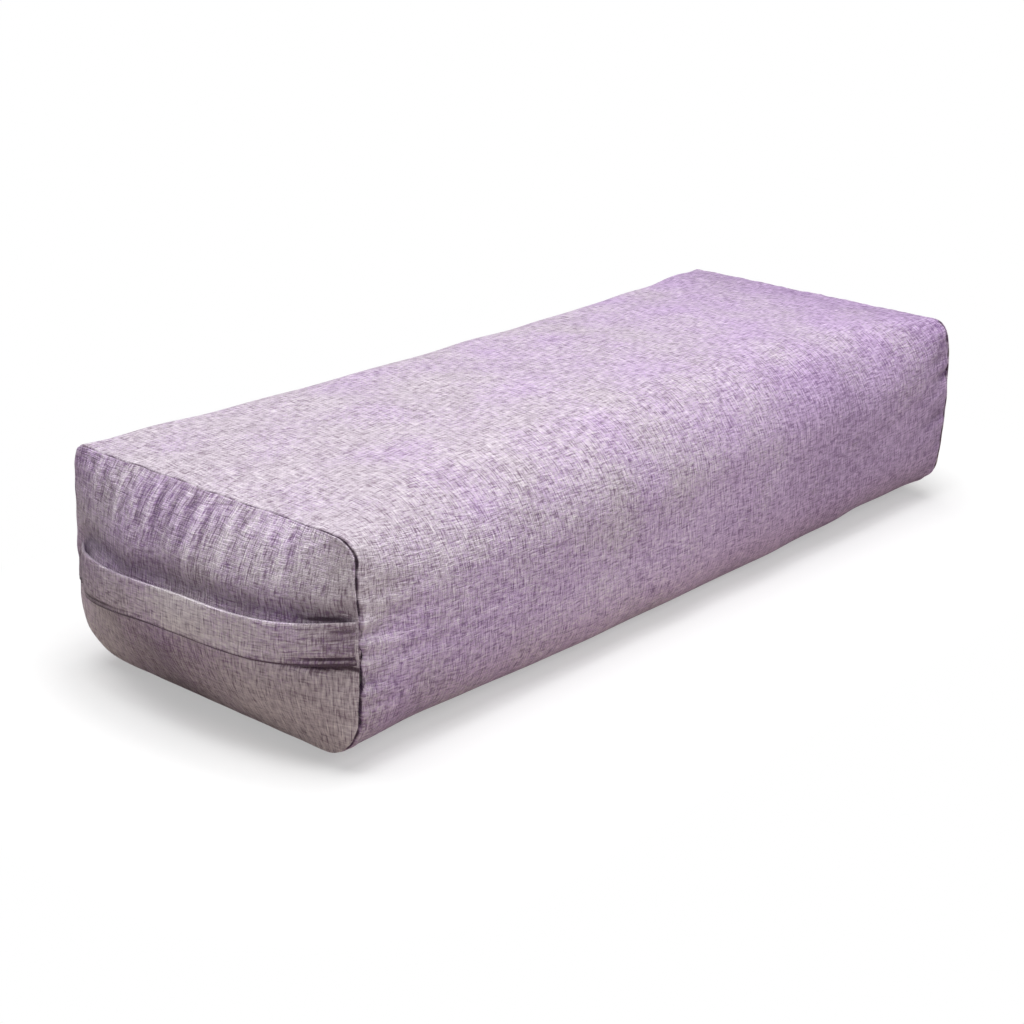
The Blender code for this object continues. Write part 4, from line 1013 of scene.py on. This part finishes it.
def makeWorld():
    # a weak white sky, which the camera, mirrors and clear things see as plain white
    world = bpy.data.worlds.new("studio")
    bpy.context.scene.world = world
    tree = NodeTree(world)
    sky = tree.tree.nodes["Background"]
    sky.inputs["Color"].default_value = stage.white
    sky.inputs["Strength"].default_value = stage.sky
    white = tree.node("Background", None, [stage.white, 1.0])
    rays = tree.node("LightPath")
    camera, glossy, clear = tree.outputs(rays, "Is Camera Ray", "Is Glossy Ray", "Is Transmission Ray")
    seen = camera.math("MAXIMUM", glossy).math("MAXIMUM", clear)
    tree.finish(seen, Wire(tree, sky.outputs[0]), white, "World Output")


def standAt(standing, place, right, up, back):  # places a lamp or a camera with its own axes
    axes = Matrix(np.column_stack([right, up, back]).tolist())
    standing.matrix_world = Matrix.Translation(place) @ axes.to_4x4()


lamps = dict(
    overhead=dict(place=(-0.1, 0.5, 2.4), target=(0, 0, 0.1), size=(2.6, 2.0), power=51.5),
    closeTop=dict(place=(-0.15, -0.4, 1.5), target=(-0.05, -0.05, 0.1), size=(1.0, 0.7), power=10.0),
    closeFront=dict(place=(0.0, -1.1, 0.9), target=(0, -0.1, 0.08), size=(0.8, 0.6), power=4.0),
    closeLeft=dict(place=(-1.3, -0.9, 0.7), target=(-0.3, -0.05, 0.08), size=(0.7, 0.6), power=2.1),
)
# the lens is as long as 2060 of the photograph's 1024 pixels
shot = Plan(azimuth=-49.6236, elevation=20.4299, roll=1.1816, distance=1.4346, aside=-0.0304, up=0.0390,
            sensor=36.0, lens=2060 / 1024 * 36)


def makeLamp(name, place, target, size, power):  # an area lamp that faces its target
    data = bpy.data.lights.new(name, "AREA")
    data.shape = "RECTANGLE"
    data.size, data.size_y = size
    data.energy = power
    back = unit(np.subtract(place, target))
    right = unit(np.cross((0, 1, 0.01), back))
    standAt(addObject(name, data), place, right, np.cross(back, right), back)


def makeCamera():
    # the camera's own axes from azimuth, elevation and roll; its place is given along those axes
    a, e, r = (math.radians(shot[key]) for key in ("azimuth", "elevation", "roll"))
    back = np.array([math.sin(a) * math.cos(e), -math.cos(a) * math.cos(e), math.sin(e)])
    right = unit(np.cross([0, 0, 1], back))
    up = np.cross(back, right)
    right, up = math.cos(r) * right + math.sin(r) * up, -math.sin(r) * right + math.cos(r) * up
    data = bpy.data.cameras.new("camera")
    data.lens, data.sensor_width = shot.lens, shot.sensor
    data.clip_start, data.clip_end = 0.05, 100.0
    camera = addObject("camera", data)
    standAt(camera, right * shot.aside + up * shot.up + back * shot.distance, right, up, back)
    bpy.context.scene.camera = camera


makeFloor()
makeWorld()
for name, lamp in lamps.items():
    makeLamp(name, **lamp)
makeCamera()
bpy.context.scene.view_settings.view_transform = "Standard"
print("floor, lights and camera made")
